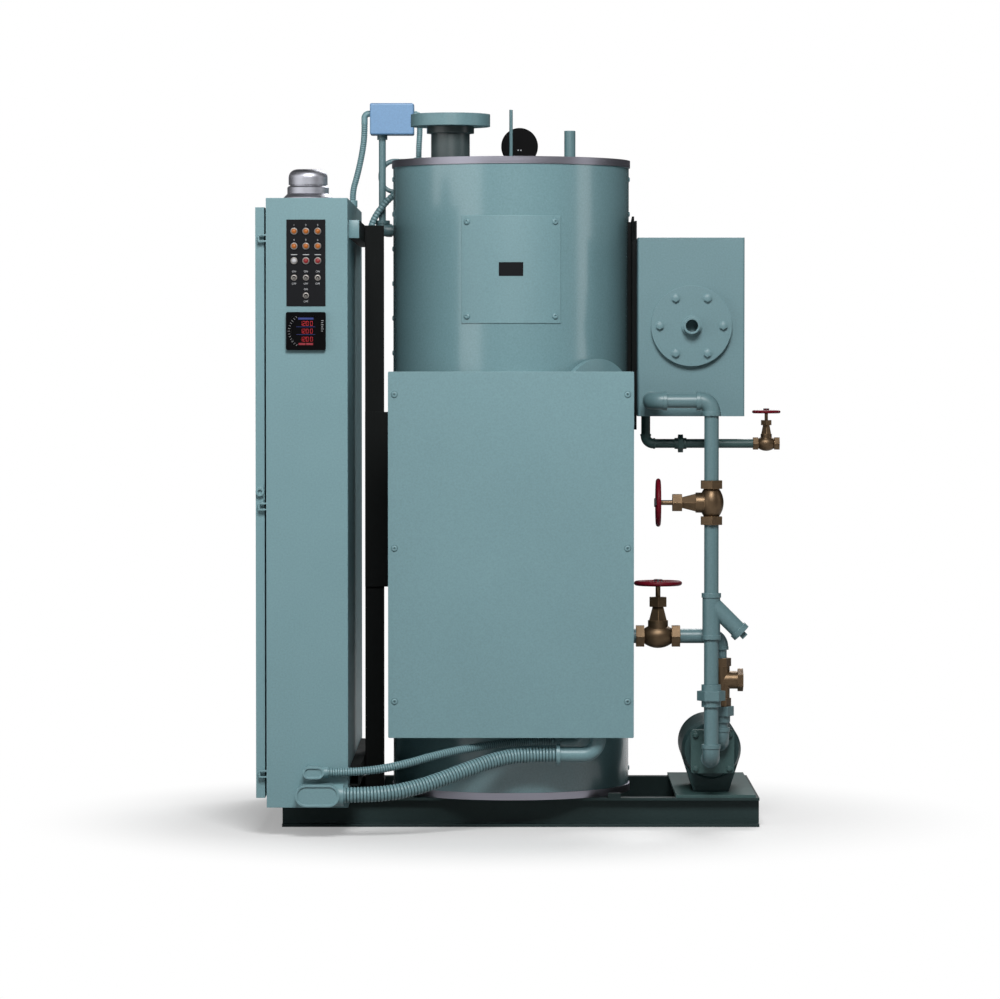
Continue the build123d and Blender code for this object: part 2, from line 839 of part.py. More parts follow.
latch_x = (door_left + door_right) / 2
latch_z = clamp_middle + latch_above
latch_tip = door_front - latch_length
latch_middle = door_front - latch_length / 2
with BuildPart() as cabinet_door:
    block(
        (door_left, door_right), (door_front, door_rear), (rail_height + door_drop, cabinet_top - door_drop)
    )
    offset(amount=-door_wall, openings=cabinet_door.faces().sort_by(Axis.X)[-1])
    for z in hinge_heights:
        rod((hinge_x, hinge_y, z + running_gap), (hinge_x, hinge_y, z + hinge_length), 2 * hinge_radius)
        block((hinge_x - hinge_radius, hinge_x), (door_rear, hinge_y), (z + running_gap, z + hinge_length))
        rod(
            (hinge_x, hinge_y, z), (hinge_x, hinge_y, z + hinge_length / 2 + running_gap),
            2 * (hinge_pin + running_gap), mode=Mode.SUBTRACT,
        )
    rod((latch_x, latch_tip, latch_z), (latch_x, door_front, latch_z), 2 * latch_radius)
    rod((latch_x, latch_tip, latch_z), (latch_x, latch_middle, latch_z), latch_radius, mode=Mode.SUBTRACT)
    block(
        (door_right - door_wall, door_right), (latch_middle, door_front),
        (latch_z - latch_plate_height / 2, latch_z + latch_plate_height / 2),
    )
save(cabinet_door, "cabinet_door")

# Struts and post that tie the cabinet to the vessel
strut_top = cabinet_top - strut_drop
strut_bases = {"upper_strut": strut_top - strut_height, "lower_strut": rail_height + strut_rise}
for name, base in strut_bases.items():
    with BuildPart() as strut:
        strut_y = (strut_front, strut_front + strut_length)
        block((cabinet_right, post_left), strut_y, (base, base + strut_height))
        block(
            (cabinet_right, post_left - strut_wall), strut_y,
            (base + strut_wall, base + strut_height - strut_wall), mode=Mode.SUBTRACT,
        )
    save(strut, name)

with BuildPart() as cabinet_post:
    block((post_left, post_right), (post_front, post_rear), (rail_height, strut_top))
    offset(amount=-post_wall, openings=cabinet_post.faces().sort_by(Axis.Z)[0])
    block((post_left, 0), (post_front - brace_thickness, post_front), (brace_base, brace_base + brace_height))
    cut_jacket()
save(cabinet_post, "cabinet_post")

# Instruments on the cabinet's roof and face
with BuildPart() as roof_horn:
    body_top = horn_base_height + horn_body_height
    dome_base = body_top + horn_groove
    dome_top = dome_base + horn_dome_height
    turned(
        Plane.XY.move(Pos(horn_x, horn_y, cabinet_top)),
        (
            (0, 0), (horn_base_radius, 0), (horn_base_radius, horn_base_edge),
            (horn_body_radius, horn_base_height), (horn_body_radius, body_top - horn_body_bevel),
            (horn_body_radius - horn_body_bevel, body_top), (horn_groove_radius, body_top),
            (horn_groove_radius, dome_base), (horn_dome_radius, dome_base), (horn_dome_radius, dome_top),
            (0, dome_top),
        ),
    )
    fillet(roof_horn.edges().sort_by(Axis.Z)[-1], horn_dome_corner)
save(roof_horn, "roof_horn")

plate_face = cabinet_front - control_thickness
with BuildPart() as control_plate:
    block(
        (control_x - control_width / 2, control_x + control_width / 2), (plate_face, cabinet_front),
        (control_base, control_base + control_height),
    )
save(control_plate, "control_plate")

control_columns = [control_x + step * lamp_pitch for step in (-1, 0, 1)]
with BuildPart() as indicator_lamps:
    for x in control_columns:
        for rise in lamp_rows:
            lamp = Plane((x, plate_face, control_base + rise), x_dir=(1, 0, 0), z_dir=(0, -1, 0))
            ring = lamp_rise / 2
            turned(lamp, ((0, 0), (lamp_bezel, 0), (lamp_bezel, ring), (lamp_lens, ring),
                          (lamp_lens_top, lamp_rise), (0, lamp_rise)))
save(indicator_lamps, "indicator_lamps")

toggle_places = [(x, control_base + toggle_row) for x in control_columns]
toggle_places.append((control_x, control_base + toggle_low))
with BuildPart() as toggle_switches:
    for x, z in toggle_places:
        hexagon(Plane((x, plate_face, z), x_dir=(1, 0, 0), z_dir=(0, -1, 0)), 2 * toggle_radius, toggle_rise)
        tip = (x, plate_face - toggle_lever, z + toggle_lever / 2)
        rod((x, plate_face - toggle_rise / 2, z), tip, 2 * toggle_lever_radius)
save(toggle_switches, "toggle_switches")

meter_base = control_base - meter_gap - meter_height
with BuildPart() as power_meter:
    meter_face = Plane(
        (control_x, cabinet_front, meter_base + meter_height / 2), x_dir=(1, 0, 0), z_dir=(0, -1, 0)
    )
    with BuildSketch(meter_face):
        RectangleRounded(meter_width, meter_height, meter_corner)
    extrude(amount=meter_depth)
    with BuildSketch(meter_face.offset(meter_depth)):
        RectangleRounded(meter_screen, meter_screen, meter_corner)
    extrude(amount=-meter_screen_depth, mode=Mode.SUBTRACT)
save(power_meter, "power_meter")

# Feed tank, its lid, the plates that hang it from the vessel and its inlet flange
with BuildPart() as feed_tank:
    with BuildSketch(Plane.XY.offset(tank_base)):
        with Locations((tank_middle, (tank_front + tank_rear) / 2)):
            RectangleRounded(tank_width, tank_depth, tank_corner)
    extrude(amount=tank_height)
    offset(amount=-tank_wall, openings=feed_tank.faces().sort_by(Axis.Z)[-1])
save(feed_tank, "feed_tank")

with BuildPart() as feed_tank_lid:
    with BuildSketch(Plane.XY.offset(tank_top)):
        with Locations((tank_middle, (tank_front + tank_rear) / 2)):
            RectangleRounded(tank_width, tank_depth, tank_corner)
    extrude(amount=tank_lid)
save(feed_tank_lid, "feed_tank_lid")

pad_right = jacket_radius + bracket_pad
bracket_top = bracket_base + bracket_height
with BuildPart() as tank_brackets:
    block((0, pad_right), (-bracket_pad_width / 2, bracket_pad_width / 2), (bracket_base, bracket_top))
    cut_jacket()
    with BuildSketch(Plane((pad_right, 0, 0), x_dir=(0, 1, 0), z_dir=(1, 0, 0))):
        with BuildLine():
            Polyline(
                (bracket_front, bracket_base), (bracket_front + bracket_depth, bracket_base),
                (bracket_front + bracket_depth, bracket_top),
                (bracket_front + bracket_slope, bracket_top + bracket_rise),
                (bracket_front, bracket_top - bracket_slope), close=True,
            )
        make_face()
    extrude(amount=bracket_plate)
    block(
        (pad_right + bracket_plate, tank_left), (bracket_front, bracket_front + bracket_depth),
        (bracket_base, bracket_top),
    )
save(tank_brackets, "tank_brackets")

with BuildPart() as tank_flange:
    hub_front = flange_thickness + flange_hub_length
    nipple_front = flange_thickness + flange_nipple_length
    turned(
        Plane((tank_middle, tank_front, flange_height), x_dir=(1, 0, 0), z_dir=(0, -1, 0)),
        (
            (flange_bore / 2, 0), (flange_radius, 0), (flange_radius, flange_thickness),
            (flange_hub / 2, flange_thickness), (flange_hub / 2, hub_front), (flange_nipple / 2, hub_front),
            (flange_nipple / 2, nipple_front), (flange_bore / 2, nipple_front),
        ),
    )
save(tank_flange, "tank_flange")

# Suction line: tank, two elbows, globe valve, strainer, union and the elbow on the pump
suction_valve_top = suction_valve_height + feed_valve_size.reach
suction_valve_base = suction_valve_height - feed_valve_size.reach
with BuildPart() as suction_upper_pipe:
    outlet = (outlet_x, suction_y, suction_height)
    corner = (suction_x, suction_y, suction_height)
    elbow(outlet, (0, 1, 0), (1, 0, 0), feed_pipe)
    elbow(corner, (-1, 0, 0), (0, 0, -1), feed_pipe)
    rod((outlet_x, suction_y + feed_pipe.reach, suction_height), (outlet_x, tank_front, suction_height),
        feed_pipe.outer)
    rod((outlet_x + feed_pipe.reach, suction_y, suction_height),
        (suction_x - feed_pipe.reach, suction_y, suction_height), feed_pipe.outer)
    rod((suction_x, suction_y, suction_height - feed_pipe.reach),
        (suction_x, suction_y, suction_valve_top), feed_pipe.outer)
save(suction_upper_pipe, "suction_upper_pipe")

with BuildPart() as suction_valve:
    valve_body(suction_place, feed_valve_size)
save(suction_valve, "suction_valve")

with BuildPart() as suction_strainer:
    rod((suction_x, suction_y, union_top), (suction_x, suction_y, suction_valve_base), feed_pipe.outer)
    rod((suction_x, suction_y, strainer_base), (suction_x, suction_y, strainer_top), strainer_body)
    for low in (strainer_base, strainer_top - strainer_bead_length):
        rod((suction_x, suction_y, low), (suction_x, suction_y, low + strainer_bead_length), strainer_bead)
    branch = Plane((suction_x, suction_y, strainer_branch_start), x_dir=(0, 1, 0), z_dir=(1, 0, -1))
    cap_base = strainer_reach - strainer_cap_length
    turned(
        branch,
        (
            (0, 0), (strainer_branch / 2, 0), (strainer_branch / 2, cap_base), (strainer_cap / 2, cap_base),
            (strainer_cap / 2, strainer_reach), (0, strainer_reach),
        ),
    )
    with BuildSketch(branch.offset(strainer_reach)):
        Rectangle(strainer_plug, strainer_plug)
    extrude(amount=strainer_plug_length)
save(suction_strainer, "suction_strainer")

with BuildPart() as suction_lower_pipe:
    union(suction_x, suction_y, union_base, union_top, union_nut_flats, union_nut_height)
    rod((suction_x, suction_y, suction_drop + feed_pipe.reach), (suction_x, suction_y, union_base),
        feed_pipe.outer)
    elbow((suction_x, suction_y, suction_drop), (0, 0, 1), (0, 1, 0), feed_pipe)
    rod((suction_x, suction_y + feed_pipe.reach, suction_drop), (suction_x, pump_face, suction_drop),
        feed_pipe.outer)
save(suction_lower_pipe, "suction_lower_pipe")

# Discharge line: elbow on the pump, union, check valve, elbow, globe valve and the vessel
with BuildPart() as discharge_riser:
    elbow((discharge_x, discharge_y, discharge_port), (0, 1, 0), (0, 0, 1), feed_pipe)
    rod((discharge_x, discharge_y, discharge_port + feed_pipe.reach),
        (discharge_x, discharge_y, discharge_union_base), feed_pipe.outer)
    rod((discharge_x, discharge_y, discharge_union_base), (discharge_x, discharge_y, discharge_nut_base),
        union_collar)
    hexagon(Plane.XY.move(Pos(discharge_x, discharge_y, discharge_nut_base)), discharge_union_flats,
            check_base - discharge_nut_base)
save(discharge_riser, "discharge_riser")

with BuildPart() as check_valve:
    low = Plane.XY.move(Pos(discharge_x, discharge_y, check_base))
    high = Plane.XY.move(Pos(discharge_x, discharge_y, check_top - check_hex))
    hexagon(low, check_hex_flats, check_hex)
    hexagon(high, check_hex_flats, check_hex)
    rod((discharge_x, discharge_y, check_base + check_hex),
        (discharge_x, discharge_y, check_top - check_hex), 2 * check_body_radius)
    side = (discharge_x + check_branch_reach, discharge_y, check_branch_height)
    rod((discharge_x, discharge_y, check_branch_height), side, 2 * check_branch_radius)
    hexagon(Plane(side, x_dir=(0, 0, 1), z_dir=(1, 0, 0)), check_cap_flats, check_cap_length)
save(check_valve, "check_valve")

feed_valve_right = feed_valve_x + feed_valve_size.reach
feed_valve_left = feed_valve_x - feed_valve_size.reach
with BuildPart() as discharge_pipe:
    elbow((discharge_x, discharge_y, discharge_height), (-1, 0, 0), (0, 0, -1), discharge_bend)
    rod((discharge_x, discharge_y, check_top),
        (discharge_x, discharge_y, discharge_height - discharge_bend.reach), discharge_bend.outer)
    rod((feed_valve_right, discharge_y, discharge_height),
        (discharge_x - discharge_bend.reach, discharge_y, discharge_height), feed_pipe.outer)
    rod((0, discharge_y, discharge_height), (feed_valve_left, discharge_y, discharge_height), feed_pipe.outer)
    cut_jacket()
save(discharge_pipe, "discharge_pipe")

with BuildPart() as feed_valve:
    valve_body(feed_place, feed_valve_size)
save(feed_valve, "feed_valve")

# Drain line under the tank, ending in a small globe valve
drain_valve_left = drain_valve_x - drain_valve_size.reach
drain_mouth = drain_valve_x + drain_valve_size.reach
with BuildPart() as drain_pipe:
    elbow((drain_x, drain_y, drain_height), (0, 0, 1), (1, 0, 0), drain_pipe_size)
    rod((drain_x, drain_y, drain_height + drain_pipe_size.reach), (drain_x, drain_y, tank_base),
        drain_pipe_size.outer)
    rod((drain_x + drain_pipe_size.reach, drain_y, drain_height), (drain_valve_left, drain_y, drain_height),
        drain_pipe_size.outer)
    union_half = drain_union_length / 2
    collar_half = drain_union_collar_length / 2
    hexagon(Plane((drain_union_x - union_half, drain_y, drain_height), x_dir=(0, 0, 1), z_dir=(1, 0, 0)),
            drain_union_flats, drain_union_length)
    rod((drain_union_x - collar_half, drain_y, drain_height),
        (drain_union_x + collar_half, drain_y, drain_height), drain_union_collar)
save(drain_pipe, "drain_pipe")

with BuildPart() as drain_valve:
    valve_body(drain_place, drain_valve_size)
    rod((drain_mouth - drain_bore_depth, drain_y, drain_height), (drain_mouth, drain_y, drain_height),
        drain_bore, mode=Mode.SUBTRACT)
save(drain_valve, "drain_valve")

wheels = {
    "suction_handwheel": (suction_place, feed_valve_size),
    "feed_handwheel": (feed_place, feed_valve_size),
    "drain_handwheel": (drain_place, drain_valve_size),
}
for name, (place, size) in wheels.items():
    with BuildPart() as wheel:
        handwheel(place, size)
    save(wheel, name)

# Pump head and motor
motor_y = pump_face + pump_head_thickness + pump_case_length
with BuildPart() as pump_head:
    face = Plane((pump_x, pump_face, pump_height), x_dir=(1, 0, 0), z_dir=(0, -1, 0))
    with BuildSketch(face):
        RectangleRounded(pump_head_size, pump_head_size, pump_head_corner)
    extrude(amount=-pump_head_thickness)
    with BuildSketch(face.offset(-pump_head_thickness)):
        Circle(pump_case_radius)
    extrude(amount=-pump_case_length)
save(pump_head, "pump_head")

with BuildPart() as pump_motor:
    foot_top = pump_height - foot_drop
    with BuildSketch(Plane((pump_x, motor_y + motor_bell, 0), x_dir=(1, 0, 0), z_dir=(0, -1, 0))):
        with BuildLine():
            Polyline(
                (-foot_base_width / 2, plate_top), (foot_base_width / 2, plate_top),
                (foot_top_width / 2, foot_top), (-foot_top_width / 2, foot_top), close=True,
            )
        make_face()
    extrude(amount=-foot_length)
    turned(
        Plane((pump_x, motor_y, pump_height), x_dir=(1, 0, 0), z_dir=(0, 1, 0)),
        (
            (0, 0), (motor_bell_radius, 0), (motor_radius, motor_bell),
            (motor_radius, motor_length - motor_bell), (motor_fan_radius, motor_length), (0, motor_length),
        ),
    )
save(pump_motor, "pump_motor")

# Flexible conduits
conduits = {
    "large_conduit": (large_route, large_conduit_diameter),
    "small_conduit": (small_route, small_conduit_diameter),
    "housing_conduit": (housing_route, housing_conduit_diameter),
    "lid_conduit": (lid_route, lid_conduit_diameter),
    "sensor_conduit": (sensor_route, sensor_conduit_diameter),
}
for name, (route_points, diameter) in conduits.items():
    with BuildPart() as conduit:
        radii, length = conduit_tube(route_points, diameter)
    save(conduit, name)
    ideal = pi * diameter**2 / 4 * length
    print(name, "length", round(length), "radii", [round(radius) for radius in radii],
          "volume share", round(conduit.part.volume / ideal, 4))

# Fittings at the ends of the conduits
with BuildPart() as panel_fittings:
    for route_points, size, hub, hub_length in (
        (large_route, large_body, large_hub, large_hub_length),
        (small_route, small_body, small_hub, small_hub_length),
    ):
        start_x, start_y, start_z = route_points[0]
        conduit_body(start_x - hub_length, start_z, size, hub, hub_length, start_y)
save(panel_fittings, "panel_conduit_bodies")

with BuildPart() as box_elbows:
    for route_points, hub, hub_length, rise_length, bend, bore in (
        (large_route, large_hub, large_hub_length, large_rise, large_bend, large_conduit_diameter),
        (small_route, small_hub, small_hub_length, small_rise, small_bend, small_conduit_diameter),
    ):
        end_x, end_y, end_z = route_points[-1]
        rod((end_x, end_y, end_z), (end_x + hub_length, end_y, end_z), hub)
        bent_tube(
            (
                (end_x + hub_length, end_y, end_z), (end_x + rise_length, end_y, end_z),
                (end_x + rise_length, end_y, box_base),
            ),
            bore, bend,
        )
save(box_elbows, "box_conduit_elbows")

with BuildPart() as conduit_connectors:
    for route_points, seat in ((housing_route, cabinet_top), (lid_route, jacket_top)):
        end_x, end_y, end_z = route_points[-1]
        rod((end_x, end_y, seat), (end_x, end_y, end_z), connector_diameter)
    for route_points, side, diameter in (
        (housing_route, housing_left, housing_conduit_diameter),
        (lid_route, housing_right, lid_conduit_diameter),
    ):
        start_x, start_y, start_z = route_points[0]
        top = start_z + connector_height + diameter / 2
        bent_tube(((side, start_y, top), (start_x, start_y, top), (start_x, start_y, start_z)),
                  diameter, diameter * connector_bend)
    first, second = [Vector(*point) for point in sensor_route[:2]]
    rod(first - (second - first), first, connector_diameter)
    block((post_left, post_right), (post_front, post_rear), (rail_height, strut_top), mode=Mode.SUBTRACT)
    before, last = [Vector(*point) for point in sensor_route[-2:]]
    rod(last, last + (last - before) * 2, connector_diameter)
    cut_jacket()
save(conduit_connectors, "conduit_connectors")
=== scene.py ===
"""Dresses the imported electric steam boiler: paint, bronze, conduits, lamps, meter and stage."""

import json
import math

import bmesh
import bpy
from bpy.props import FloatProperty, IntProperty, PointerProperty, StringProperty
from mathutils import Matrix, Vector


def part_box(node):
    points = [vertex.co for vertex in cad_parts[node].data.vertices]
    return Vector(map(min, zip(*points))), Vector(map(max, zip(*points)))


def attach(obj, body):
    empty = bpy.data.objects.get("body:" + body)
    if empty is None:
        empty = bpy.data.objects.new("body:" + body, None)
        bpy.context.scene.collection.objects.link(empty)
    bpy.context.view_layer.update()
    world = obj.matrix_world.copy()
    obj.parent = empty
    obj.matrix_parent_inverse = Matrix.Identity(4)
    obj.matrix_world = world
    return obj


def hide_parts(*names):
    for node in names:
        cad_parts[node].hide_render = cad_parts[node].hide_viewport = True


bl_info = {
    "name": "Steam boiler dress",
    "version": (1, 0, 0),
    "blender": (4, 5, 0),
    "location": "View3D > Sidebar > Boiler",
    "description": "Finishes, fasteners, conduits and controls of a packaged electric steam boiler",
    "category": "Object",
}

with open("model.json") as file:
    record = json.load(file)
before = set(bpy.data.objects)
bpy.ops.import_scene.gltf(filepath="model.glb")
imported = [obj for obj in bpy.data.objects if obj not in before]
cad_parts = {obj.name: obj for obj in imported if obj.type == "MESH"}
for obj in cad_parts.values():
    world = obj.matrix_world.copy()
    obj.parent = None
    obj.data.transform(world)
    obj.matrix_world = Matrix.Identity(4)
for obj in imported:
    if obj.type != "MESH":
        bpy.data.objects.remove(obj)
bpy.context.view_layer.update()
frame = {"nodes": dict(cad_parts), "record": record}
NODES = frame["nodes"]
BOILER = "boiler"
MM = 0.001
MIXED = 2  # a mix node's colour result, among its outputs

# Conduit routes in millimetres, the same points as the solids' tubes.
CONDUITS = {
    "large_conduit": (
        (-480, -607, 126), (-372, -607, 126), (-255, -566, 147), (-140, -512, 186),
        (-30, -462, 221), (62, -440, 228.5), (132, -440, 228.5),
    ),
    "small_conduit": (
        (-526, -592, 190), (-432, -592, 190), (-318, -566, 207), (-205, -515, 236),
        (-90, -444, 252), (16, -378, 258), (82, -356, 260), (132, -356, 260),
    ),
    "housing_conduit": (
        (-445, 200, 2092), (-445, 200, 2052), (-453, 195, 1995), (-468, 188, 1928),
        (-480, 181, 1888), (-480, 181, 1858),
    ),
    "lid_conduit": ((-277, 200, 2092), (-277, 200, 2064), (-280, 188, 2016), (-280, 188, 1988)),
    "sensor_conduit": (
        (-422, 113, 1706), (-425, 130, 1735), (-426, 150, 1772), (-411, 166, 1812),
        (-380, 174, 1852), (-350, 178, 1880), (-327, 176, 1894),
    ),
}
CONDUIT_SIZES = {
    "large_conduit": (45, 9.6),
    "small_conduit": (24, 7.2),
    "housing_conduit": (19, 6.6),
    "lid_conduit": (17.4, 6.4),
    "sensor_conduit": (20, 10.5),
}

# Controls in millimetres, from the middle of the control plate's lower edge.
LAMP_COLUMNS = (-34, 0, 34)
LAMP_ROWS = (214.6, 172, 130)
TOGGLE_ROW = 81.7
PUMP_TOGGLE_ROW = 30.6

# Radius of the access plate's face in millimetres.
ACCESS_RADIUS = 355.3


class BoilerColours(bpy.types.PropertyGroup):
    """Colours of the boiler's finishes, as sRGB hex values."""

    paint: StringProperty(name="Paint", description="Blue green enamel of the plant", default="#72949A")
    # The tank's paint is the plant's paint darkened: painted shade.
    tank: StringProperty(name="Tank paint", description="Enamel of the feed tank", default="#68888E")
    # The pipes' paint is the plant's paint darkened: painted shade.
    line: StringProperty(name="Pipe paint", description="Enamel of the feed line's pipes",
                         default="#5F7D82")
    # Darker enamel laid in the conduits' grooves and round the cover screws: painted shade and painted
    # shadow.
    groove_shade: StringProperty(name="Shaded paint", description="Enamel in grooves and sockets",
                           default="#526C70")
    # Darker than the plant's paint: painted shade on the low rails.
    skid: StringProperty(name="Skid paint", description="Darker enamel of the skid", default="#1F3131")
    # Also laid on the drain pipe and the pump plate as painted shade.
    pump: StringProperty(name="Pump paint", description="Enamel of the pump head and its plate",
                         default="#3A5453")
    motor: StringProperty(name="Motor paint", description="Dark enamel of the motor", default="#2A4243")
    # Grey bare steel of the neck, darkened further as painted shade under the flange; also the wheel nuts.
    pipe: StringProperty(name="Bare neck", description="Dark steel of the steam neck", default="#3F4A4B")
    # Near black: painted shade on the post, struts and tank brackets, which stand in shadow.
    shade: StringProperty(name="Frame paint", description="Dark enamel of the post and struts",
                          default="#080C0C")
    housing: StringProperty(name="Probe housing", description="Light blue of the probe housing",
                            default="#7299C0")
    wheel: StringProperty(name="Handwheel", description="Dark red enamel of the handwheels",
                          default="#640A1B")
    bronze: StringProperty(name="Bronze", description="Cast bronze of the valves", default="#63513D")
    steel: StringProperty(name="Stainless steel", description="Roof horn", default="#AFB0B8")
    # A darker copy of the horn's stainless: painted shade on the bands.
    band: StringProperty(name="Trim band", description="Stainless trim bands of the jacket",
                         default="#9A99A4")
    plate: StringProperty(name="Control plate", description="Black control plate", default="#101114")
    # The lamps are not lit; the lenses' faint glow is painted light.
    amber: StringProperty(name="Amber lens", description="Amber lamp lens", default="#94500A")
    red: StringProperty(name="Red lens", description="Red lamp lens", default="#74060D")
    digits: StringProperty(name="Meter digits", description="Lit digits of the meter", default="#E0303A")
    panel: StringProperty(name="Mounting panel", description="White panel in the cabinet",
                          default="#D9D8D2")


class BoilerSizes(bpy.types.PropertyGroup):
    """Sizes of the small pieces that the dress adds."""

    crease: FloatProperty(name="Crease", description="Angle that stays sharp", default=0.55, subtype="ANGLE")
    cover_screw: FloatProperty(name="Cover screw", description="Radius of a screw head on the cover",
                               default=9.0 * MM, unit="LENGTH")
    plate_screw: FloatProperty(name="Plate screw", description="Radius of a screw head on the access plate",
                               default=9.5 * MM, unit="LENGTH")
    seam_screw: FloatProperty(name="Seam screw", description="Radius of a screw head along the side seams",
                              default=7.5 * MM, unit="LENGTH")
    flange_bolt: FloatProperty(name="Flange bolt", description="Half width of a bolt head on the tank flange",
                               default=11.5 * MM, unit="LENGTH")
    lamp: FloatProperty(name="Lamp", description="Radius of a lamp's bezel", default=10.2 * MM, unit="LENGTH")
    toggle: FloatProperty(name="Toggle", description="Radius of a toggle's nut",
                          default=8.6 * MM, unit="LENGTH")
    tube_sides: IntProperty(name="Conduit sides", description="Sides of a conduit's rings", default=24, min=8)


def colours():
    return bpy.context.scene.boiler_colours


def sizes():
    return bpy.context.scene.boiler_sizes


def on_plate(across, up):
    """A place on the control plate's face, from the middle of its lower edge."""
    low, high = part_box("control_plate")
    return Vector(((low.x + high.x) / 2 + across * MM, low.y, low.z + up * MM))


def toggle_spots():
    return [(across, TOGGLE_ROW) for across in LAMP_COLUMNS] + [(0, PUMP_TOGGLE_ROW)]


def linear(code, gain=1.0):
    """Linear colour of an sRGB hex value, made lighter or darker by gain."""
    channels = [int(code[i:i + 2], 16) / 255 for i in (1, 3, 5)]
    straight = [c / 12.92 if c <= 0.04045 else ((c + 0.055) / 1.055) ** 2.4 for c in channels]
    return (*(min(1.0, gain * c) for c in straight), 1.0)


def feed(tree, node, inputs):
    """Sets or links a node's inputs."""
    known = {socket.identifier: socket for socket in node.inputs}
    for name, value in inputs.items():
        socket = known[name] if name in known else node.inputs[name]
        if isinstance(value, bpy.types.NodeSocket):
            tree.links.new(value, socket)
        else:
            socket.default_value = value


def add_node(tree, kind, inputs=None, **settings):
    """Adds a node, gives it its settings, and sets or links its inputs."""
    node = tree.nodes.new(kind)
    for name, value in settings.items():
        setattr(node, name, value)
    feed(tree, node, inputs or {})
    return node


def new_material(name):
    """An empty node material with its principled shader, and its tree."""
    material = bpy.data.materials.new(name)
    material.use_nodes = True
    tree = material.node_tree
    return material, tree, tree.nodes["Principled BSDF"]


def per_metre(size_mm):
    """Scale of a noise whose features are about size_mm across."""
    return 1 / (size_mm * MM)


def enamel(name, code, roughness, peel_mm=3.0, peel=0.12, haze=0.05, coat=0.0, specular=0.5):
    """Enamel sprayed on steel: even colour, faint orange peel, edges a little paler as a painted highlight
    with a little rubbed paint.
    """
    material, tree, shader = new_material(name)
    place = add_node(tree, "ShaderNodeTexCoord").outputs["Object"]
    drift = add_node(tree, "ShaderNodeTexNoise", {"Vector": place, "Scale": per_metre(380), "Detail": 3.0})
    grain = add_node(tree, "ShaderNodeTexNoise", {"Vector": place, "Scale": per_metre(5), "Detail": 2.0})
    body = add_node(tree, "ShaderNodeMix", {
        "Factor_Float": drift.outputs["Fac"], "A_Color": linear(code, 0.93), "B_Color": linear(code, 1.07)},
        data_type="RGBA")
    speck = add_node(tree, "ShaderNodeMix", {
        "Factor_Float": grain.outputs["Fac"], "A_Color": linear("#DDDDDD"), "B_Color": linear("#FFFFFF")},
        data_type="RGBA")
    film = add_node(tree, "ShaderNodeMix", {
        "Factor_Float": 1.0, "A_Color": body.outputs[MIXED], "B_Color": speck.outputs[MIXED]},
        data_type="RGBA", blend_type="MULTIPLY")
    # Paler edges: painted highlight, with a little rubbed paint.
    rounded = add_node(tree, "ShaderNodeBevel", {"Radius": 2.2 * MM}, samples=4)
    true = add_node(tree, "ShaderNodeNewGeometry").outputs["Normal"]
    turn = add_node(
        tree, "ShaderNodeVectorMath", {0: rounded.outputs["Normal"], 1: true}, operation="DOT_PRODUCT")
    edge = add_node(tree, "ShaderNodeMapRange", {
        "Value": turn.outputs["Value"], "From Min": 1.0, "From Max": 0.75, "To Min": 0.0, "To Max": 0.55})
    edge_wear_and_highlight = add_node(tree, "ShaderNodeMix", {
        "Factor_Float": edge.outputs["Result"], "A_Color": film.outputs[MIXED],
        "B_Color": linear(code, 1.55)},
        data_type="RGBA")
    dust = add_node(tree, "ShaderNodeTexNoise", {"Vector": place, "Scale": per_metre(120), "Detail": 4.0})
    sheen = add_node(tree, "ShaderNodeMapRange", {
        "Value": dust.outputs["Fac"], "To Min": roughness - haze, "To Max": roughness + haze})
    skin = add_node(tree, "ShaderNodeTexNoise", {"Vector": place, "Scale": per_metre(peel_mm), "Detail": 1.0})
    bump = add_node(tree, "ShaderNodeBump", {
        "Strength": peel, "Distance": 0.2 * MM, "Height": skin.outputs["Fac"],
        "Normal": rounded.outputs["Normal"]})
    feed(tree, shader, {
        "Base Color": edge_wear_and_highlight.outputs[MIXED], "Roughness": sheen.outputs["Result"],
        "Normal": bump.outputs["Normal"], "IOR": 1.5, "Specular IOR Level": specular,
        "Coat Weight": coat, "Coat Roughness": 0.16})
    return material


def cast_bronze(name, code):
    """Cast bronze gone brown: sand texture, darker in patches, corners painted bright as a painted highlight.
    """
    material, tree, shader = new_material(name)
    place = add_node(tree, "ShaderNodeTexCoord").outputs["Object"]
    patch = add_node(tree, "ShaderNodeTexNoise", {"Vector": place, "Scale": per_metre(28), "Detail": 5.0})
    tone = add_node(tree, "ShaderNodeMix", {
        "Factor_Float": patch.outputs["Fac"], "A_Color": linear(code, 0.55), "B_Color": linear(code, 1.2)},
        data_type="RGBA")
    # The corners are painted a pale tan: a painted highlight.
    rounded = add_node(tree, "ShaderNodeBevel", {"Radius": 1.6 * MM}, samples=4)
    true = add_node(tree, "ShaderNodeNewGeometry").outputs["Normal"]
    turn = add_node(
        tree, "ShaderNodeVectorMath", {0: rounded.outputs["Normal"], 1: true}, operation="DOT_PRODUCT")
    edge = add_node(tree, "ShaderNodeMapRange", {
        "Value": turn.outputs["Value"], "From Min": 1.0, "From Max": 0.7, "To Min": 0.0, "To Max": 0.8})
    bright = add_node(tree, "ShaderNodeMix", {
        "Factor_Float": edge.outputs["Result"], "A_Color": tone.outputs[MIXED], "B_Color": linear("#B89570")},
        data_type="RGBA")
    sand = add_node(tree, "ShaderNodeTexNoise", {"Vector": place, "Scale": per_metre(2.4), "Detail": 2.0})
    bump = add_node(tree, "ShaderNodeBump", {
        "Strength": 0.25, "Distance": 0.3 * MM, "Height": sand.outputs["Fac"],
        "Normal": rounded.outputs["Normal"]})
    rough = add_node(tree, "ShaderNodeMapRange", {
        "Value": patch.outputs["Fac"], "To Min": 0.5, "To Max": 0.32})
    feed(tree, shader, {
        "Base Color": bright.outputs[MIXED], "Roughness": rough.outputs["Result"],
        "Normal": bump.outputs["Normal"], "Metallic": 0.85})
    return material


